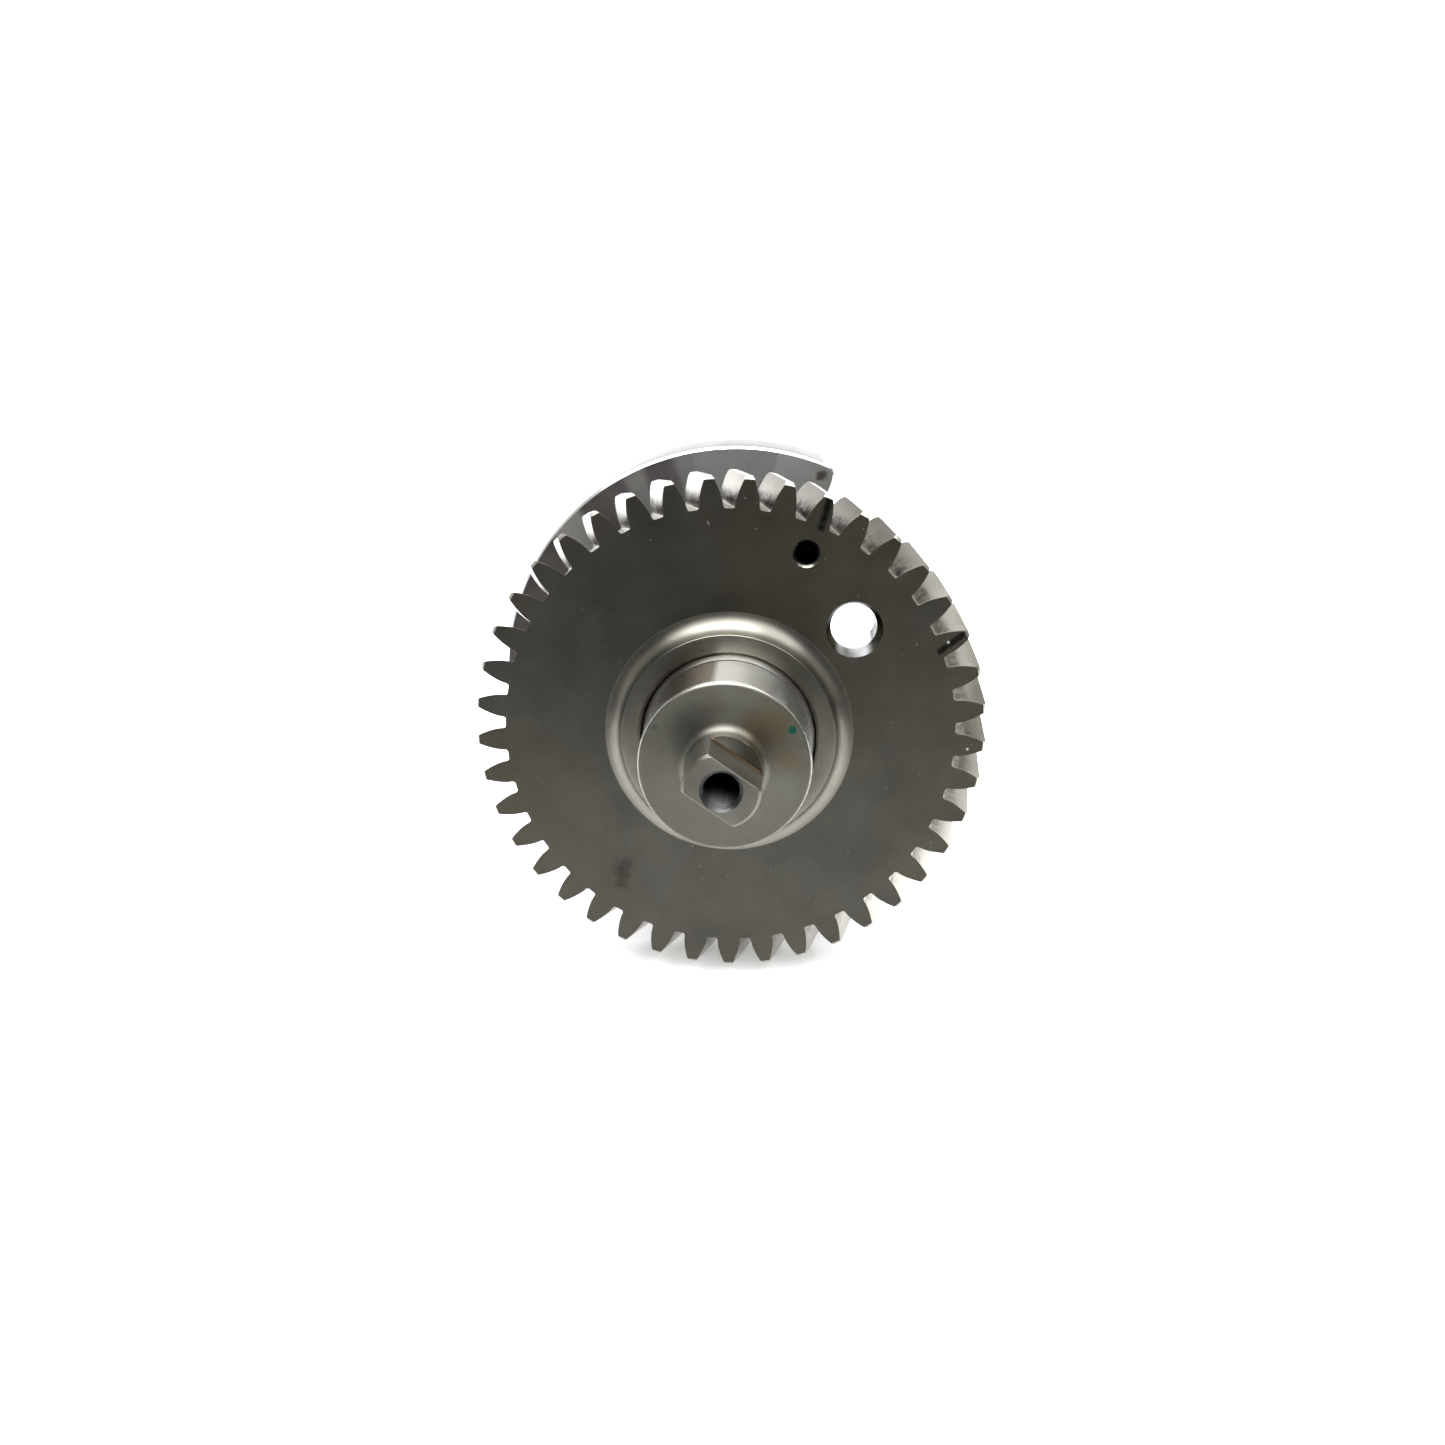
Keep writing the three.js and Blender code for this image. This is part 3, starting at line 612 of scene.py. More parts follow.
# painted shade: the large hole's mouth has a darker base than its bore, and its lower side gets a
# painted highlight
MOUTH_STEEL = turned_steel(
    "hole_mouth_steel", (104, 102, 96), (92, 90, 84), 0.24, 0.05, 0.0, 0.05, mouth_painted_highlight)
SMALL_MOUTH_STEEL = turned_steel(
    "small_hole_mouth_steel", (138, 136, 128), (116, 114, 106), 0.16, 0.05, 0.0)
# painted shade: the timing hole's walls and bottom are made nearly black
DARK_STEEL = turned_steel("blind_hole_steel", 45, 30, 0.5, 0.1, 0.0)
SHAFT_STEEL = turned_steel("shaft_turned_steel", (168, 166, 160), (138, 136, 130), 0.32, 0.3, 0.6)
JOURNAL_STEEL = turned_steel(
    "journal_ground_steel", (200, 199, 193), (184, 183, 177), 0.27, 0.02, 0.93, 0.03, journal_painted_shade)
END_FACE_STEEL = turned_steel(
    "end_face_steel", (110, 109, 102), (96, 94, 87), 0.42, 0.1, 0.7, 0.05, end_face_stains)
# painted shade: the screw hole's thread is made dark
THREAD_STEEL = turned_steel("thread_steel", 78, 50, 0.36, 0.1, 0.0)
WEIGHT_FACE = turned_steel(
    "weight_face_steel", (134, 129, 131), (118, 113, 115), 0.32, 0.12, 0.7, 0.05, weight_fan_highlights_and_stain)
WEIGHT_RIM = turned_steel("weight_rim_steel", 225, 200, 0.2, 0.12, 0.5)
RACE_STEEL = turned_steel(
    "race_ground_steel", (186, 185, 180), (166, 165, 160), 0.2, 0.15, 0.6, 0.06)
CAGE_STEEL = turned_steel("cage_sheet_steel", (178, 172, 158), (142, 137, 125), 0.35, 0.1, 0.0)
BALL_STEEL = turned_steel("ball_polished_steel", 225, 215, 0.06, 0.0, 0.0, 0.02)
SPRING_STEEL = turned_steel("spring_phosphated_steel", 60, 40, 0.5, 0.2, 0.0)

# a grey tint keeps the mouth of the large hole dark where it is seen at a grazing angle
MOUTH_STEEL.node_tree.nodes["Principled BSDF"].inputs["Specular Tint"].default_value = shade(120)


# ------------ shaft

SHAFT_SIDES = 144
LEAD_IN_STEPS = 9
DULL_EDGE = 0.1  # how far the end face's steel goes round the lead-in
SCREW_PITCH = 1.0
THREAD_MINOR_R = 2.96
THREAD_MAJOR_R = 3.5
THREAD_LENGTH = 12.0
THREAD_STEPS = 16  # rings in one turn of the thread
HOLE_DEPTH = 15.0
HOLE_POINT = 1.45  # the drill's point
HOLE_MOUTH_R = 3.56


def shaft_angles():
    """Even angles, with the nearest ones moved on to the corners of the stub's two flats."""
    angles = even_angles(SHAFT_SIDES)
    reach = math.acos(FLATS_HALF / STUB_R)
    for corner in (reach, -reach, math.pi + reach, math.pi - reach):
        target = (FLATS_ANGLE + corner) % TURN
        nearest = min(range(SHAFT_SIDES), key=lambda i: abs(angles[i] - target))
        angles[nearest] = target
    return angles


def thread_rings(angles):
    """The screw hole from its bottom to its mouth, with the thread as a helical wave."""
    bottom = STUB_END + HOLE_DEPTH
    rings = [[(0, bottom + HOLE_POINT, 0)], ring(THREAD_MINOR_R, bottom, angles)]
    steps = int(THREAD_LENGTH / SCREW_PITCH * THREAD_STEPS)
    for step in range(steps, -1, -1):
        depth = THREAD_LENGTH * step / steps

        def radius(angle, depth=depth):
            phase = (depth / SCREW_PITCH + angle / TURN) % 1.0
            wave = 0.5 - 0.5 * math.cos(TURN * phase)
            cut = THREAD_MINOR_R + (THREAD_MAJOR_R - THREAD_MINOR_R) * wave
            fade = min(1, (THREAD_LENGTH - depth) / SCREW_PITCH)
            cut = THREAD_MINOR_R + (cut - THREAD_MINOR_R) * fade
            return max(cut, HOLE_MOUTH_R - depth)

        rings.append(ring(radius, STUB_END + depth, angles))
    return rings


def stub_rings(angles):
    """The drive stub: round, with two flats that stop short of the journal's face."""

    def across_flats(round_r, half):
        def radius(angle):
            toward = abs(math.cos(angle - FLATS_ANGLE))
            return min(round_r, half / toward) if toward > 1e-6 else round_r

        return radius

    rings = []
    for depth, round_r, half in (
        (0.0, STUB_R - 0.5, FLATS_HALF - 0.12),
        (0.12, STUB_R - 0.38, FLATS_HALF),
        (0.5, STUB_R, FLATS_HALF),
        (FLATS_LENGTH - 0.35, STUB_R, FLATS_HALF),
        (FLATS_LENGTH - 0.1, STUB_R, FLATS_HALF + 0.1),
        (FLATS_LENGTH, STUB_R, FLATS_HALF + 0.35),
        (FLATS_LENGTH, STUB_R, STUB_R - 0.1),
        (FLATS_LENGTH + 0.1, STUB_R, STUB_R),
    ):
        rings.append(ring(across_flats(round_r, half), STUB_END + depth, angles))
    return rings


def lead_in_profile():
    """The journal's rounded front edge, from its end face to its full radius."""
    points = [(JOURNAL_R - JOURNAL_LEAD_IN - 0.08, JOURNAL_FACE)]
    for step in range(LEAD_IN_STEPS, -1, -1):
        bend = math.radians(90 * step / LEAD_IN_STEPS)
        radius = JOURNAL_R - JOURNAL_LEAD_IN * (1 - math.cos(bend))
        points.append((radius, JOURNAL_FACE + JOURNAL_LEAD_IN_LENGTH * (1 - math.sin(bend))))
    return points


def shaft_profile():
    """The shaft behind the lead-in, with its seats, its groove and its rear centre hole."""
    journal = [(JOURNAL_R, JOURNAL_FACE + JOURNAL_LEAD_IN_LENGTH + 0.1), (JOURNAL_R, BOSS_TOP - 1.0),
               (RELIEF_R, BOSS_TOP - 0.6), (RELIEF_R, BOSS_TOP + 1.2)]
    gear_seat = [(GEAR_SEAT_R, BOSS_TOP + 1.5), (GEAR_BORE_R, BOSS_TOP + 3.0), (GEAR_BORE_R, GEAR_REAR)]
    first, last = GEAR_REAR + 0.02, WEIGHT_FRONT - 0.02
    middle = [(SHOULDER_R, first), (SHOULDER_R, first + SHOULDER_LENGTH),
              (MIDDLE_R, first + MIDDLE_INSET), (MIDDLE_R, last - MIDDLE_INSET),
              (SHOULDER_R, last - SHOULDER_LENGTH), (SHOULDER_R, last)]
    step = WEIGHT_REAR - 0.3
    groove_front, groove_rear = RETAINER_FRONT - GROOVE_PLAY, RETAINER_REAR + GROOVE_PLAY
    rear = [(WEIGHT_SEAT_R, last), (WEIGHT_SEAT_R, step), (BEARING_SEAT_R, step),
            (BEARING_SEAT_R, groove_front), (GROOVE_R, groove_front),
            (GROOVE_R, groove_rear), (BEARING_SEAT_R, groove_rear),
            (BEARING_SEAT_R, SHAFT_END - SHAFT_CHAMFER), (BEARING_SEAT_R - SHAFT_CHAMFER, SHAFT_END),
            (CENTRE_HOLE_R, SHAFT_END), (0, SHAFT_END - CENTRE_HOLE_DEPTH)]
    return soften(journal + gear_seat + middle + rear, 0.25)


def build_shaft():
    angles = shaft_angles()
    thread = thread_rings(angles)
    fillet = arc(STUB_R + STUB_FILLET, JOURNAL_FACE - STUB_FILLET, STUB_FILLET, 180, 90, 8)
    turned = turned_rings(fillet + lead_in_profile() + shaft_profile(), angles)
    rings = thread + stub_rings(angles) + turned
    materials = [SHAFT_STEEL, END_FACE_STEEL, JOURNAL_STEEL, THREAD_STEEL]
    plain, end_face, journal, threaded = range(4)
    numbers = []  # one for each row of faces after the hole's pole
    for i, points in enumerate(rings[1:]):
        y = points[0][1]
        if i < len(thread) - 2:
            numbers.append(threaded)
        elif y <= JOURNAL_FACE + DULL_EDGE:
            numbers.append(end_face)
        elif y < BOSS_TOP + 1.0:
            numbers.append(journal)
        else:
            numbers.append(plain)
    solid = Solid()
    solid.skin(rings, materials=numbers)
    solid.finish("turned_shaft", "rotor", materials, ["balance_shaft"])


# ------------ gear

def involute(angle):
    return math.tan(angle) - angle


def half_tooth_angle(radius):
    """Half of the angle that a tooth covers at a radius."""
    base = PITCH_R * math.cos(PRESSURE_ANGLE)
    here = math.acos(min(1.0, base / radius))
    return TOOTH_THICKNESS / 2 / PITCH_R + involute(PRESSURE_ANGLE) - involute(here)


def tooth_side():
    """(radius, angle from the tooth's middle) from the gap's middle up to the tip's edge."""
    fillet_steps, flank_steps = 5, 8
    pitch = TURN / TEETH
    floor = pitch / 2 - ROOT_FLOOR / 2 / ROOT_R
    flank_start = ROOT_R + ROOT_FILLET
    flank_end = TIP_R - TIP_CHAMFER
    corner = half_tooth_angle(flank_start)
    side = [(ROOT_R, pitch / 2)]
    for step in range(fillet_steps + 1):
        t = step / fillet_steps
        bent = (1 - t) ** 2 * floor + 2 * t * (1 - t) * corner + t * t * corner
        radius = (1 - t) ** 2 * ROOT_R + 2 * t * (1 - t) * ROOT_R + t * t * flank_start
        side.append((radius, bent))
    for step in range(1, flank_steps + 1):
        radius = flank_start + (flank_end - flank_start) * step / flank_steps
        side.append((radius, half_tooth_angle(radius)))
    side.append((TIP_R, half_tooth_angle(TIP_R)))
    return side


def gear_outline():
    """X and Z of the teeth's outline at the front face."""
    side = tooth_side()
    points = []
    for tooth in range(TEETH):
        middle = FIRST_TOOTH + tooth * TURN / TEETH
        points += [polar(r, middle - half) for r, half in side]
        points += [polar(r, middle + half) for r, half in side[:0:-1]]
    return points


def inset(points, amount):
    """The outline moved inwards, for broken edges. It runs anticlockwise in X and Z."""
    count = len(points)
    result = []
    for i, (x, z) in enumerate(points):
        before = Vector(points[i - 1])
        after = Vector(points[(i + 1) % count])
        here = Vector((x, z))
        first, second = (here - before).normalized(), (after - here).normalized()
        bisector = first + second
        bisector.normalize()
        lean = max(0.5, bisector.dot(first))
        result.append((x - bisector.y * amount / lean, z + bisector.x * amount / lean))
    return result


def tip_diagonals():
    """How the faces beside each chamfered tip are split, at the front and at the rear."""
    last = len(tooth_side()) - 1  # place of the tip's first corner in a tooth's outline
    per_tooth = 2 * last + 1
    front, rear = {}, {}
    for tooth in range(TEETH):
        before, after = tooth * per_tooth + last - 1, tooth * per_tooth + last + 1
        front[before], front[after] = "rising", "falling"
        rear[before], rear[after] = "falling", "rising"
    return front, rear


def build_gear():
    materials = [GEAR_FACE, TOOTH_FLANK, BOSS_STEEL, HOLE_STEEL, DARK_STEEL, MOUTH_STEEL,
                 SMALL_MOUTH_STEEL]
    face, flank, boss, bore, dark, mouth, small_mouth = range(7)
    solid = Solid()
    outline = gear_outline()
    width = GEAR_REAR - GEAR_FRONT

    def section(depth, broken=0.0):
        """The outline at a depth: turned along the helix, and inside the chamfers on the rim."""
        turn = HELIX_TURN * depth / width
        cos, sin = math.cos(turn), math.sin(turn)
        limit = TIP_R - TIP_CHAMFER + min(depth, width - depth)
        points = []
        for x, z in inset(outline, broken) if broken else outline:
            shrink = min(1.0, (limit - broken) / math.hypot(x, z))
            x, z = x * shrink, z * shrink
            points.append((x * cos - z * sin, GEAR_FRONT + depth, x * sin + z * cos))
        return points

    steps = 8
    inner = [TIP_CHAMFER + (width - 2 * TIP_CHAMFER) * i / steps for i in range(steps + 1)]
    depths = [EDGE_BREAK, *inner, width - EDGE_BREAK]
    between = [section(depth) for depth in depths]
    sections = [section(0.0, EDGE_BREAK), *between, section(width, EDGE_BREAK)]
    loops = [solid.add_ring(points) for points in sections]
    front_split, rear_split = tip_diagonals()
    for i, (first, second) in enumerate(zip(loops, loops[1:])):
        split = front_split if i == 1 else rear_split if i == len(loops) - 3 else None
        solid.bridge(first, second, face if i in (0, len(loops) - 2) else flank, split)

    def web_hole(hole, bottom, numbers):
        """A hole's wall, from its mouth in the front face to its last points."""
        front = [(hole["mouth"], GEAR_FRONT), (hole["radius"], GEAR_FRONT + hole["lead_in"])]
        rings = moved(turned_rings(front + bottom, even_angles(48)), hole["from_axis"], hole["angle"])
        return solid.skin(rings, materials=numbers)

    bottom = GEAR_FRONT + TIMING_DEPTH
    drilled = [(TIMING_HOLE["radius"], bottom), (0, bottom + TIMING_POINT)]
    timing = web_hole(TIMING_HOLE, drilled, [small_mouth, dark, dark])
    large_r = LARGE_HOLE["radius"]
    through = [(large_r, GEAR_REAR - REAR_CHAMFER), (large_r + REAR_CHAMFER, GEAR_REAR)]
    large = web_hole(LARGE_HOLE, through, [mouth, bore, bore])
    fillet = arc(BOSS_R + BOSS_FILLET, GEAR_FRONT - BOSS_FILLET, BOSS_FILLET, 90, 180, 12)
    edge = 0.5
    top = soften([fillet[-1], (BOSS_R, BOSS_TOP), (GEAR_BORE_R + edge, BOSS_TOP),
                  (GEAR_BORE_R, BOSS_TOP + edge), (GEAR_BORE_R, GEAR_REAR - edge),
                  (GEAR_BORE_R + edge, GEAR_REAR)], 0.2)
    bored = solid.skin(turned_rings(fillet + top[1:], even_angles(160)), materials=boss)
    solid.fill([loops[0], bored[0], timing[0], large[0]], (0, -1, 0))
    solid.fill([loops[-1], bored[-1], large[-1]], (0, 1, 0))
    solid.finish("cut_gear", "rotor", materials, ["helical_gear"], sharp=14)


# ------------ counterweight

def sweep(centre, radius, start, end, steps):
    """Points on an arc in X and Z."""
    points = []
    for i in range(steps + 1):
        x, z = polar(radius, start + (end - start) * i / steps)
        points.append((centre[0] + x, centre[1] + z))
    return points


def weight_outline():
    """The weight's sector with rounded corners, closed by the arc of its hub."""
    reach = WEIGHT_R - WEIGHT_CORNER_R
    lean = math.asin(WEIGHT_CORNER_R / reach)
    start, end = WEIGHT_START + lean, WEIGHT_END - lean
    quarter = math.pi / 2
    points = sweep(polar(reach, start), WEIGHT_CORNER_R, WEIGHT_START - quarter, start, 10)
    points += sweep((0, 0), WEIGHT_R, start, end, 120)[1:-1]
    points += sweep(polar(reach, end), WEIGHT_CORNER_R, end, WEIGHT_END + quarter, 10)
    step = WEIGHT_HUB_STEP / WEIGHT_HUB_R
    points += sweep((0, 0), WEIGHT_HUB_R, WEIGHT_END + step, WEIGHT_START + TURN - step, 90)
    return points


def build_weight():
    solid = Solid()
    outline = weight_outline()

    def section(y, amount):
        """The outline at a station, inside the rim's taper and moved in by an amount."""
        taper = (WEIGHT_R - WEIGHT_FRONT_RIM_R) * (y - WEIGHT_FRONT) / WEIGHT_RIM_TAPER
        rim = min(WEIGHT_R, WEIGHT_FRONT_RIM_R + taper) - amount
        points = []
        for x, z in inset(outline, amount) if amount else outline:
            shrink = min(1.0, rim / math.hypot(x, z))
            points.append((x * shrink, y, z * shrink))
        return points

    taper_end = WEIGHT_FRONT + WEIGHT_RIM_TAPER
    stations = [(WEIGHT_FRONT, WEIGHT_EDGE), (WEIGHT_FRONT + WEIGHT_EDGE, 0.0), (taper_end, 0.0),
                (taper_end + 0.4, 0.0), (WEIGHT_REAR - WEIGHT_REAR_EDGE, 0.0),
                (WEIGHT_REAR, WEIGHT_REAR_EDGE)]
    loops = solid.skin([section(y, amount) for y, amount in stations], materials=1)
    wide = WEIGHT_SEAT_R + WEIGHT_BORE_EDGE
    bore = [(wide, WEIGHT_FRONT), (WEIGHT_SEAT_R, WEIGHT_FRONT + WEIGHT_BORE_EDGE),
            (WEIGHT_SEAT_R, WEIGHT_REAR - WEIGHT_BORE_EDGE), (wide, WEIGHT_REAR)]
    bored = solid.skin(turned_rings(bore, even_angles(96)), materials=1)
    solid.fill([loops[0], bored[0]], (0, -1, 0))
    solid.fill([loops[-1], bored[-1]], (0, 1, 0))
    materials = [WEIGHT_FACE, WEIGHT_RIM]
    solid.finish("machined_weight", "rotor", materials, ["counterweight"])


# ------------ bearing

def build_race(name, body, profile, node):
    """A bearing ring: a closed profile turned round the shaft, with softened corners."""
    solid = Solid()
    solid.skin(turned_rings(soften(profile, 0.2, closed=True), even_angles(160)), closed=True)
    solid.finish(name, body, [RACE_STEEL], [node])


def build_rings():
    front, rear = BEARING_FRONT, BEARING_REAR
    edge, bore_edge, land_edge = BEARING_EDGE, BEARING_BORE_EDGE, LAND_EDGE
    open_side = math.degrees(math.acos((OUTER_LAND_R - BALL_CIRCLE_R) / RACE_R))
    outer = [(OUTER_LAND_R + land_edge, front), (BEARING_R - edge, front),
             (BEARING_R, front + edge), (BEARING_R, rear - edge),
             (BEARING_R - edge, rear), (OUTER_LAND_R + land_edge, rear),
             (OUTER_LAND_R, rear - land_edge),
             *arc(BALL_CIRCLE_R, 0, RACE_R, open_side, -open_side, 14),
             (OUTER_LAND_R, front + land_edge)]
    build_race("ground_outer_ring", "outer_ring", outer, "bearing_outer_ring")

    open_side = math.degrees(math.acos((BALL_CIRCLE_R - INNER_LAND_R) / RACE_R))
    inner = [(BEARING_SEAT_R, front + bore_edge), (BEARING_SEAT_R + bore_edge, front),
             (INNER_LAND_R - land_edge, front), (INNER_LAND_R, front + land_edge),
             *arc(BALL_CIRCLE_R, 0, RACE_R, 180 + open_side, 180 - open_side, 14),
             (INNER_LAND_R, rear - land_edge), (INNER_LAND_R - land_edge, rear),
             (BEARING_SEAT_R + bore_edge, rear), (BEARING_SEAT_R, rear - bore_edge)]
    build_race("ground_inner_ring", "rotor", inner, "bearing_inner_ring")


def ball_angle(index):
    return math.pi / 2 + index * TURN / BALLS


def build_balls():
    half_circle = arc(0, 0, BALL_R, -90, 90, 24)
    profile = [(0, -BALL_R), *half_circle[1:-1], (0, BALL_R)]
    rings = turned_rings(profile, even_angles(36))
    for index in range(BALLS):
        solid = Solid()
        solid.skin(moved(rings, BALL_CIRCLE_R, ball_angle(index)))
        ball = f"ball_{index + 1}"
        solid.finish(f"polished_{ball}", ball, [BALL_STEEL], [ball])


def cage_section(distance, side):
    """Where the sheet's two faces are along the shaft, at a distance from a ball's centre."""

    def over(radius):
        return math.sqrt(max(0.0, radius * radius - distance * distance))

    near = max(CAGE_HALF_GAP, over(CAGE_POCKET_R))
    far = max(CAGE_HALF_GAP + CAGE_SHEET, over(CAGE_POCKET_R + CAGE_SHEET))
    return side * near, side * far


def cage_distances():
    """Distances from a ball's centre, round the ball circle, that have a section."""
    outside = CAGE_POCKET_R + CAGE_SHEET
    pocket = [CAGE_POCKET_R * math.sin(math.radians(t)) for t in range(-90, 91, 9)]
    shoulder = [outside * k / 6 for k in (5.3, 5.7, 5.85, 5.95, 6.0)]
    flat = [outside + 0.5, BALL_CIRCLE_R * TURN / BALLS / 2]
    ahead = {round(d, 4) for d in pocket + shoulder + flat}
    back = {round(-d, 4) for d in shoulder + flat[:1]}
    return sorted(ahead | back)


def build_cage_half(side, name):
    """One pressed half, a closed loop of sections with rounded edges."""
    edge = 0.12
    sections = []
    for index in range(BALLS):
        for distance in cage_distances():
            angle = ball_angle(index) + distance / BALL_CIRCLE_R
            near, far = cage_section(abs(distance), side)
            into = edge * side
            corners = ((CAGE_INNER_R + edge, near), (CAGE_OUTER_R - edge, near),
                       (CAGE_OUTER_R, near + into), (CAGE_OUTER_R, far - into),
                       (CAGE_OUTER_R - edge, far), (CAGE_INNER_R + edge, far),
                       (CAGE_INNER_R, far - into), (CAGE_INNER_R, near + into))
            sections.append([place(r, y, angle) for r, y in corners])
    solid = Solid()
    solid.skin(sections, closed=True)
    solid.finish(f"pressed_{name}", "cage", [CAGE_STEEL], [name], sharp=50)


def build_rivets():
    """One rivet between each two balls, with a domed head on both halves."""
    seat = CAGE_HALF_GAP + CAGE_SHEET
    dome = arc(0, seat, 1.0, 0, 90, 6)
    head = [(RIVET_HEAD_R * r, seat + RIVET_HEAD_HEIGHT * (y - seat)) for r, y in dome]
    upper = [(RIVET_R, 0.0), (RIVET_R, seat), (RIVET_HEAD_R, seat), *head[1:-1], (0, head[-1][1])]
    profile = [(r, -y) for r, y in reversed(upper)] + upper[1:]
    rings = turned_rings(profile, even_angles(20))
    for index in range(BALLS):
        solid = Solid()
        solid.skin(moved(rings, BALL_CIRCLE_R, ball_angle(index) + TURN / BALLS / 2))
        rivet = f"rivet_{index + 1}"
        solid.finish(f"domed_{rivet}", "cage", [CAGE_STEEL], [f"cage_{rivet}"])


def build_sleeve():
    front, rear = WEIGHT_REAR, BEARING_FRONT
    flange, flange_end = SLEEVE_FLANGE_R, front + SLEEVE_FLANGE_WIDTH
    tube, edge = SLEEVE_TUBE_R, SLEEVE_EDGE
    profile = [(BEARING_SEAT_R, front), (flange - edge, front), (flange, front + edge),
               (flange, flange_end - edge), (flange - edge, flange_end),
               *arc(tube + 1, flange_end + 1, 1, 270, 180, 6),
               (tube, rear - edge), (tube - edge, rear), (BEARING_SEAT_R, rear)]
    solid = Solid()
    solid.skin(turned_rings(soften(profile, 0.15, closed=True), even_angles(128)), closed=True)
    solid.finish("turned_sleeve", "rotor", [SHAFT_STEEL], ["distance_sleeve"])


def ray_reach(angle, at, radius):
    """How far out a ray leaves a circle whose centre is at an angle to it, or zero."""
    beside = at * math.sin(angle)
    if abs(beside) >= radius or math.cos(angle) * at < -radius:
        return 0.0
    return at * math.cos(angle) + math.sqrt(radius * radius - beside * beside)


def build_retainer():
    """An open spring ring, widest opposite its mouth, with a holed lug at each end."""
    inner, disc_r, disc_at = GROOVE_R + 0.3, 11.6, -0.4
    lug_r, lug_at, lug_hole_r = 1.6, 11.7, 0.75
    lugs = [math.radians(90 + lean) for lean in (-15, 15)]
    mouth = math.radians(5)
    edge = 0.12
    start, end = math.pi / 2 + mouth, math.pi / 2 - mouth + TURN
    count = 180
    angles = [start + (end - start) * i / count for i in range(count + 1)]
    outline = []
    for angle in angles:
        reaches = [ray_reach(angle - lug, lug_at, lug_r) for lug in lugs]
        reaches.append(ray_reach(angle - math.pi / 2, disc_at, disc_r))
        outline.append(polar(max(reaches), angle))
    outline += [polar(inner, angle) for angle in reversed(angles)]

    rings = []
    for y, amount in ((RETAINER_FRONT, edge), (RETAINER_FRONT + edge, 0.0),
                      (RETAINER_REAR - edge, 0.0), (RETAINER_REAR, edge)):
        points = inset(outline, amount) if amount else outline
        rings.append([(x, y, z) for x, z in points])
    solid = Solid()
    body = solid.skin(rings)
    hole = turned_rings([(lug_hole_r, RETAINER_FRONT), (lug_hole_r, RETAINER_REAR)], even_angles(24))
    holes = [solid.skin(moved(hole, lug_at, lug)) for lug in lugs]
    solid.fill([body[0], *(wall[0] for wall in holes)], (0, -1, 0))
    solid.fill([body[-1], *(wall[-1] for wall in holes)], (0, 1, 0))
    solid.finish("stamped_retainer", "rotor", [SPRING_STEEL], ["retaining_ring"])


def dress_cad_nodes():
    """The key is shown as its CAD node; it lies inside the shaft and the counterweight."""
    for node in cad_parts.values():
        if not node.hide_render:
            node.data.materials.clear()
            node.data.materials.append(SPRING_STEEL)


# ------------ studio

FLOOR_REACH = 1500
LAMP_AT = (-60, 60, 700)  # right, away and up from the floor under the gear
LAMP_SIZE = 500
LAMP_POWER = 6
OVERHEAD_LEVEL = 4.5
SIDE_LEVEL = 0.6
FAR_LEVEL = 1.1
BEHIND_LEVEL = 0.16
ROOM_LEVEL = 0.1
SCREEN_LEFT = math.radians(28)  # how far the screen is turned to the left of straight away
WARM = (1.0, 0.96, 0.86, 1)
COOL = (0.98, 0.99, 1.0, 1)


def floor_normal():
    return Vector((0, -math.sin(FLOOR_TILT), math.cos(FLOOR_TILT)))


def on_floor(x, along, above=0.0):
    """A point by the floor: x to the right, along it away from the viewer, and above it."""
    normal = floor_normal()
    away = Vector((0, math.cos(FLOOR_TILT), math.sin(FLOOR_TILT)))
    foot = Vector((0, GEAR_FRONT, 0)) - normal * FLOOR_BELOW_GEAR
    return (foot + Vector((x, 0, 0)) + away * along + normal * above) * MM


def floor_material():
    """White, slightly glossy board, seen from its upper side only."""
    material = bpy.data.materials.new("floor_white_board")
    n = Nodes(material)
    where = n.node("ShaderNodeTexCoord").outputs["Object"]
    tone = n.noise(where, 60.0, 4.0)
    n.put(n.shader.inputs["Base Color"], n.mix(tone, shade(236), shade(248)))
    n.shader.inputs["Roughness"].default_value = 0.3
    n.shader.inputs["Specular IOR Level"].default_value = 0.35
    n.shader.inputs["Emission Color"].default_value = shade(250)
    n.shader.inputs["Emission Strength"].default_value = 0.25
    choose = n.node("ShaderNodeMixShader")
    n.put(choose.inputs[0], n.node("ShaderNodeNewGeometry").outputs["Backfacing"])
    n.put(choose.inputs[1], n.shader.outputs[0])
    n.put(choose.inputs[2], n.node("ShaderNodeBsdfTransparent").outputs[0])
    n.put(n.tree.nodes["Material Output"].inputs["Surface"], choose.outputs[0])
    return material


def build_floor():
    mesh = bpy.data.meshes.new("floor")
    sides = ((-1, -1), (1, -1), (1, 1), (-1, 1))
    points = [tuple(on_floor(x * FLOOR_REACH, along * FLOOR_REACH)) for x, along in sides]
    mesh.from_pydata(points, [], [(0, 1, 2, 3)])
    mesh.materials.append(floor_material())
    floor = bpy.data.objects.new("floor", mesh)
    bpy.context.scene.collection.objects.link(floor)
    floor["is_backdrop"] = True


def build_lamp():
    """A large soft lamp above the object, a little to the left."""
    data = bpy.data.lights.new("overhead", "AREA")
    data.shape = "RECTANGLE"
    data.size = data.size_y = LAMP_SIZE * MM
    data.energy = LAMP_POWER
    lamp = bpy.data.objects.new("overhead", data)
    lamp.location = on_floor(*LAMP_AT)
    target = Vector((0, GEAR_FRONT / 2, 0)) * MM
    lamp.rotation_euler = (target - lamp.location).to_track_quat("-Z", "Y").to_euler()
    bpy.context.scene.collection.objects.link(lamp)


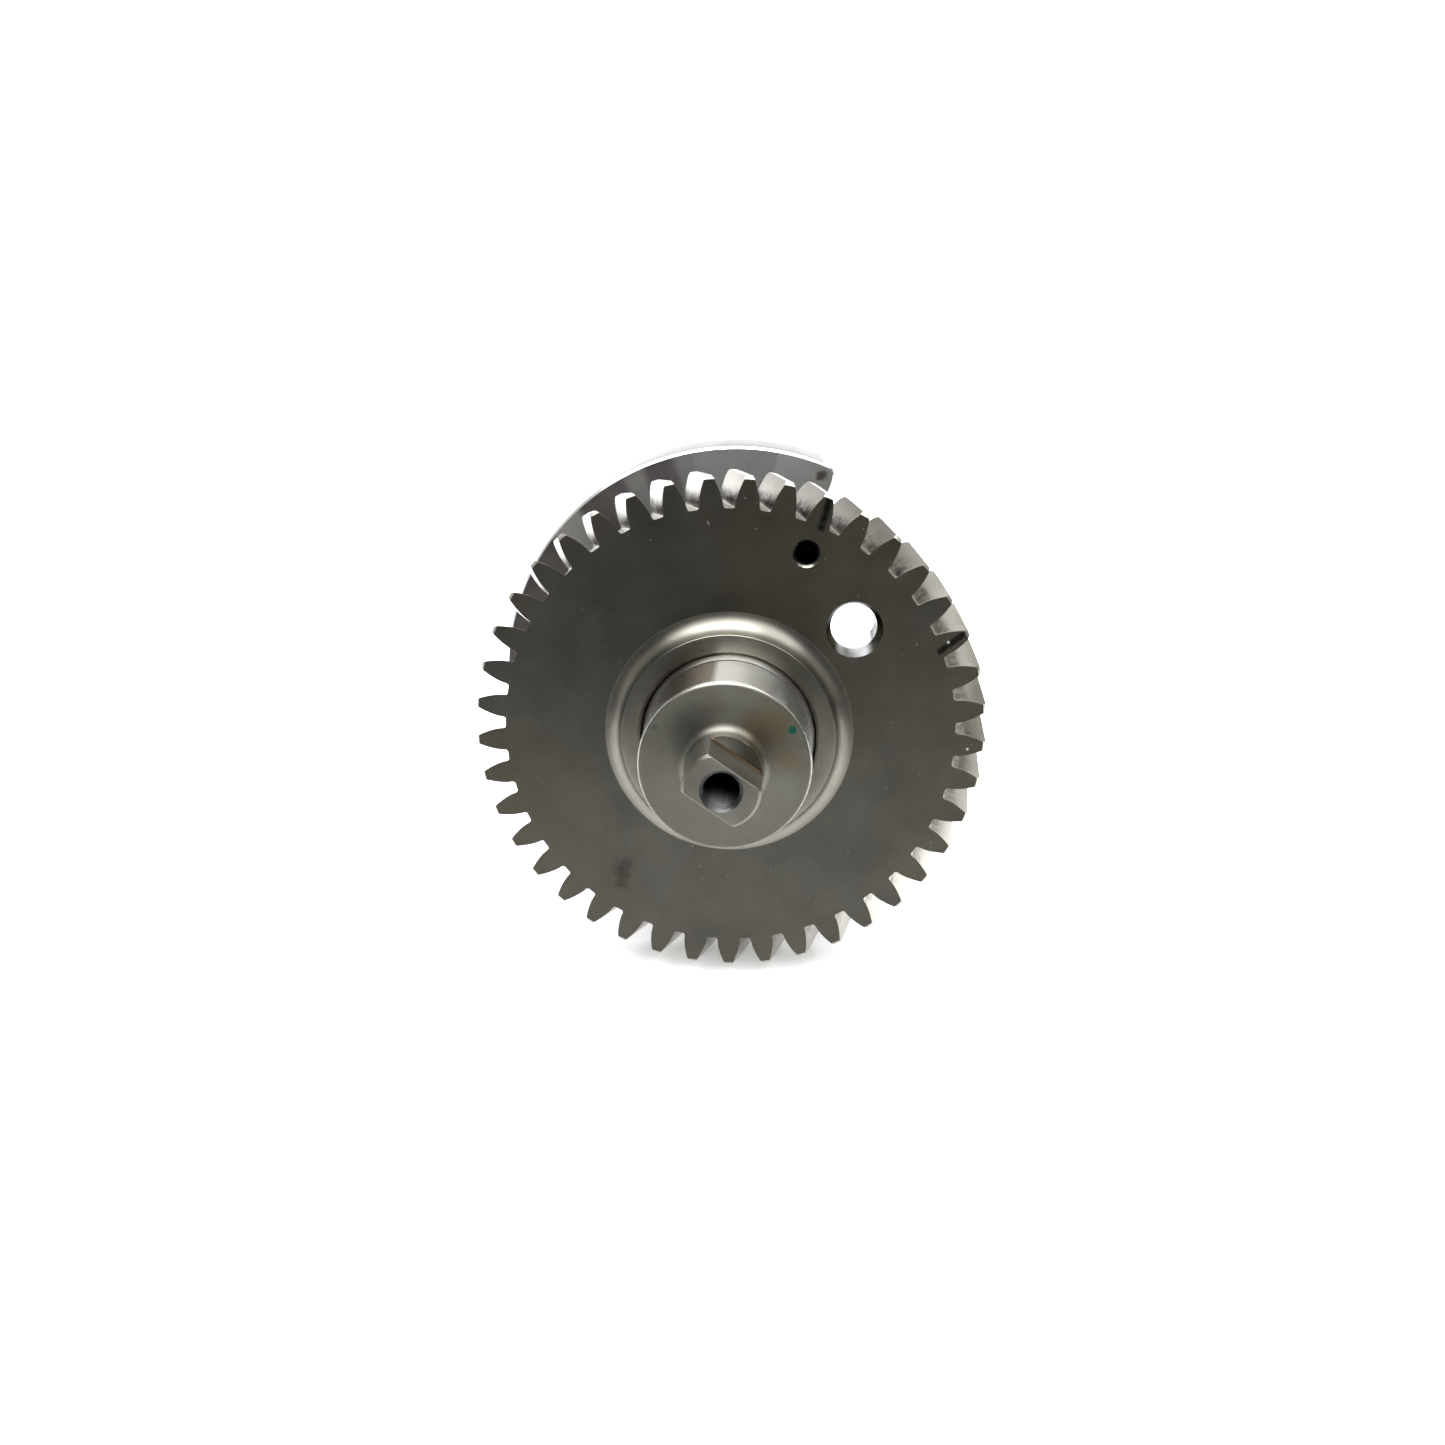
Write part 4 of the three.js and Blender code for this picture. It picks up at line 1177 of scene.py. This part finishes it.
def build_world():
    """A dim warm room with white light in it.

    It has a low screen behind the object to the left, a bright patch straight above, a soft
    light on each side and a small one high up behind.
    """
    world = bpy.data.worlds.new("studio")
    bpy.context.scene.world = world
    n = Nodes(world)
    direction = n.node("ShaderNodeTexCoord").outputs["Generated"]
    up = floor_normal()
    away = Vector((0, up.z, -up.y))
    right = Vector((1, 0, 0))

    def facing(axis, low, high):
        """From 0 to 1 as the direction's share along an axis goes from low to high."""
        dot = n.node("ShaderNodeVectorMath", operation="DOT_PRODUCT")
        n.put(dot.inputs[0], direction)
        n.put(dot.inputs[1], axis)
        return n.between(dot.outputs["Value"], low, high)

    screen_at = right * -math.sin(SCREEN_LEFT) + away * math.cos(SCREEN_LEFT)
    screen = n.times(facing(screen_at, 0.0, 0.3), facing(up, 0.31, 0.17))
    overhead = n.times(facing((up + right * 0.05).normalized(), 0.69, 0.77), OVERHEAD_LEVEL)
    sides = n.add(facing(right, 0.55, 0.8), facing(-right, 0.55, 0.8))
    sides = n.times(sides, facing(up, 0.05, 0.25), SIDE_LEVEL)
    far_light = n.times(facing((up + away).normalized(), 0.88, 0.97), FAR_LEVEL)
    bright = n.add(screen, sides, overhead, far_light)
    behind = n.times(facing(away, -1.0, 0.6), BEHIND_LEVEL)
    background = n.tree.nodes["Background"]
    n.put(background.inputs["Color"], n.mix(bright, WARM, COOL))
    n.put(background.inputs["Strength"], n.add(bright, behind, ROOM_LEVEL))


def build_camera():
    data = bpy.data.cameras.new("camera")
    data.lens = CAMERA_LENS
    data.sensor_width = 36
    data.clip_start, data.clip_end = 0.005, 20
    camera = bpy.data.objects.new("camera", data)
    camera.location = (Vector((0, GEAR_FRONT, 0)) + CAMERA_AT) * MM
    camera.rotation_euler = Euler(CAMERA_TURN)
    bpy.context.scene.collection.objects.link(camera)
    bpy.context.scene.camera = camera


# ------------ scene

build_camera()
build_shaft()
build_gear()
build_weight()
build_rings()
build_balls()
build_cage_half(-1, "cage_front_half")
build_cage_half(1, "cage_rear_half")
build_rivets()
build_sleeve()
build_retainer()
dress_cad_nodes()
build_floor()
build_world()
build_lamp()
bpy.context.scene.view_settings.view_transform = "Standard"


def corners(box):
    return [list(corner) for corner in box]


{"cad": corners(cad_box), "visual": corners(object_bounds())}
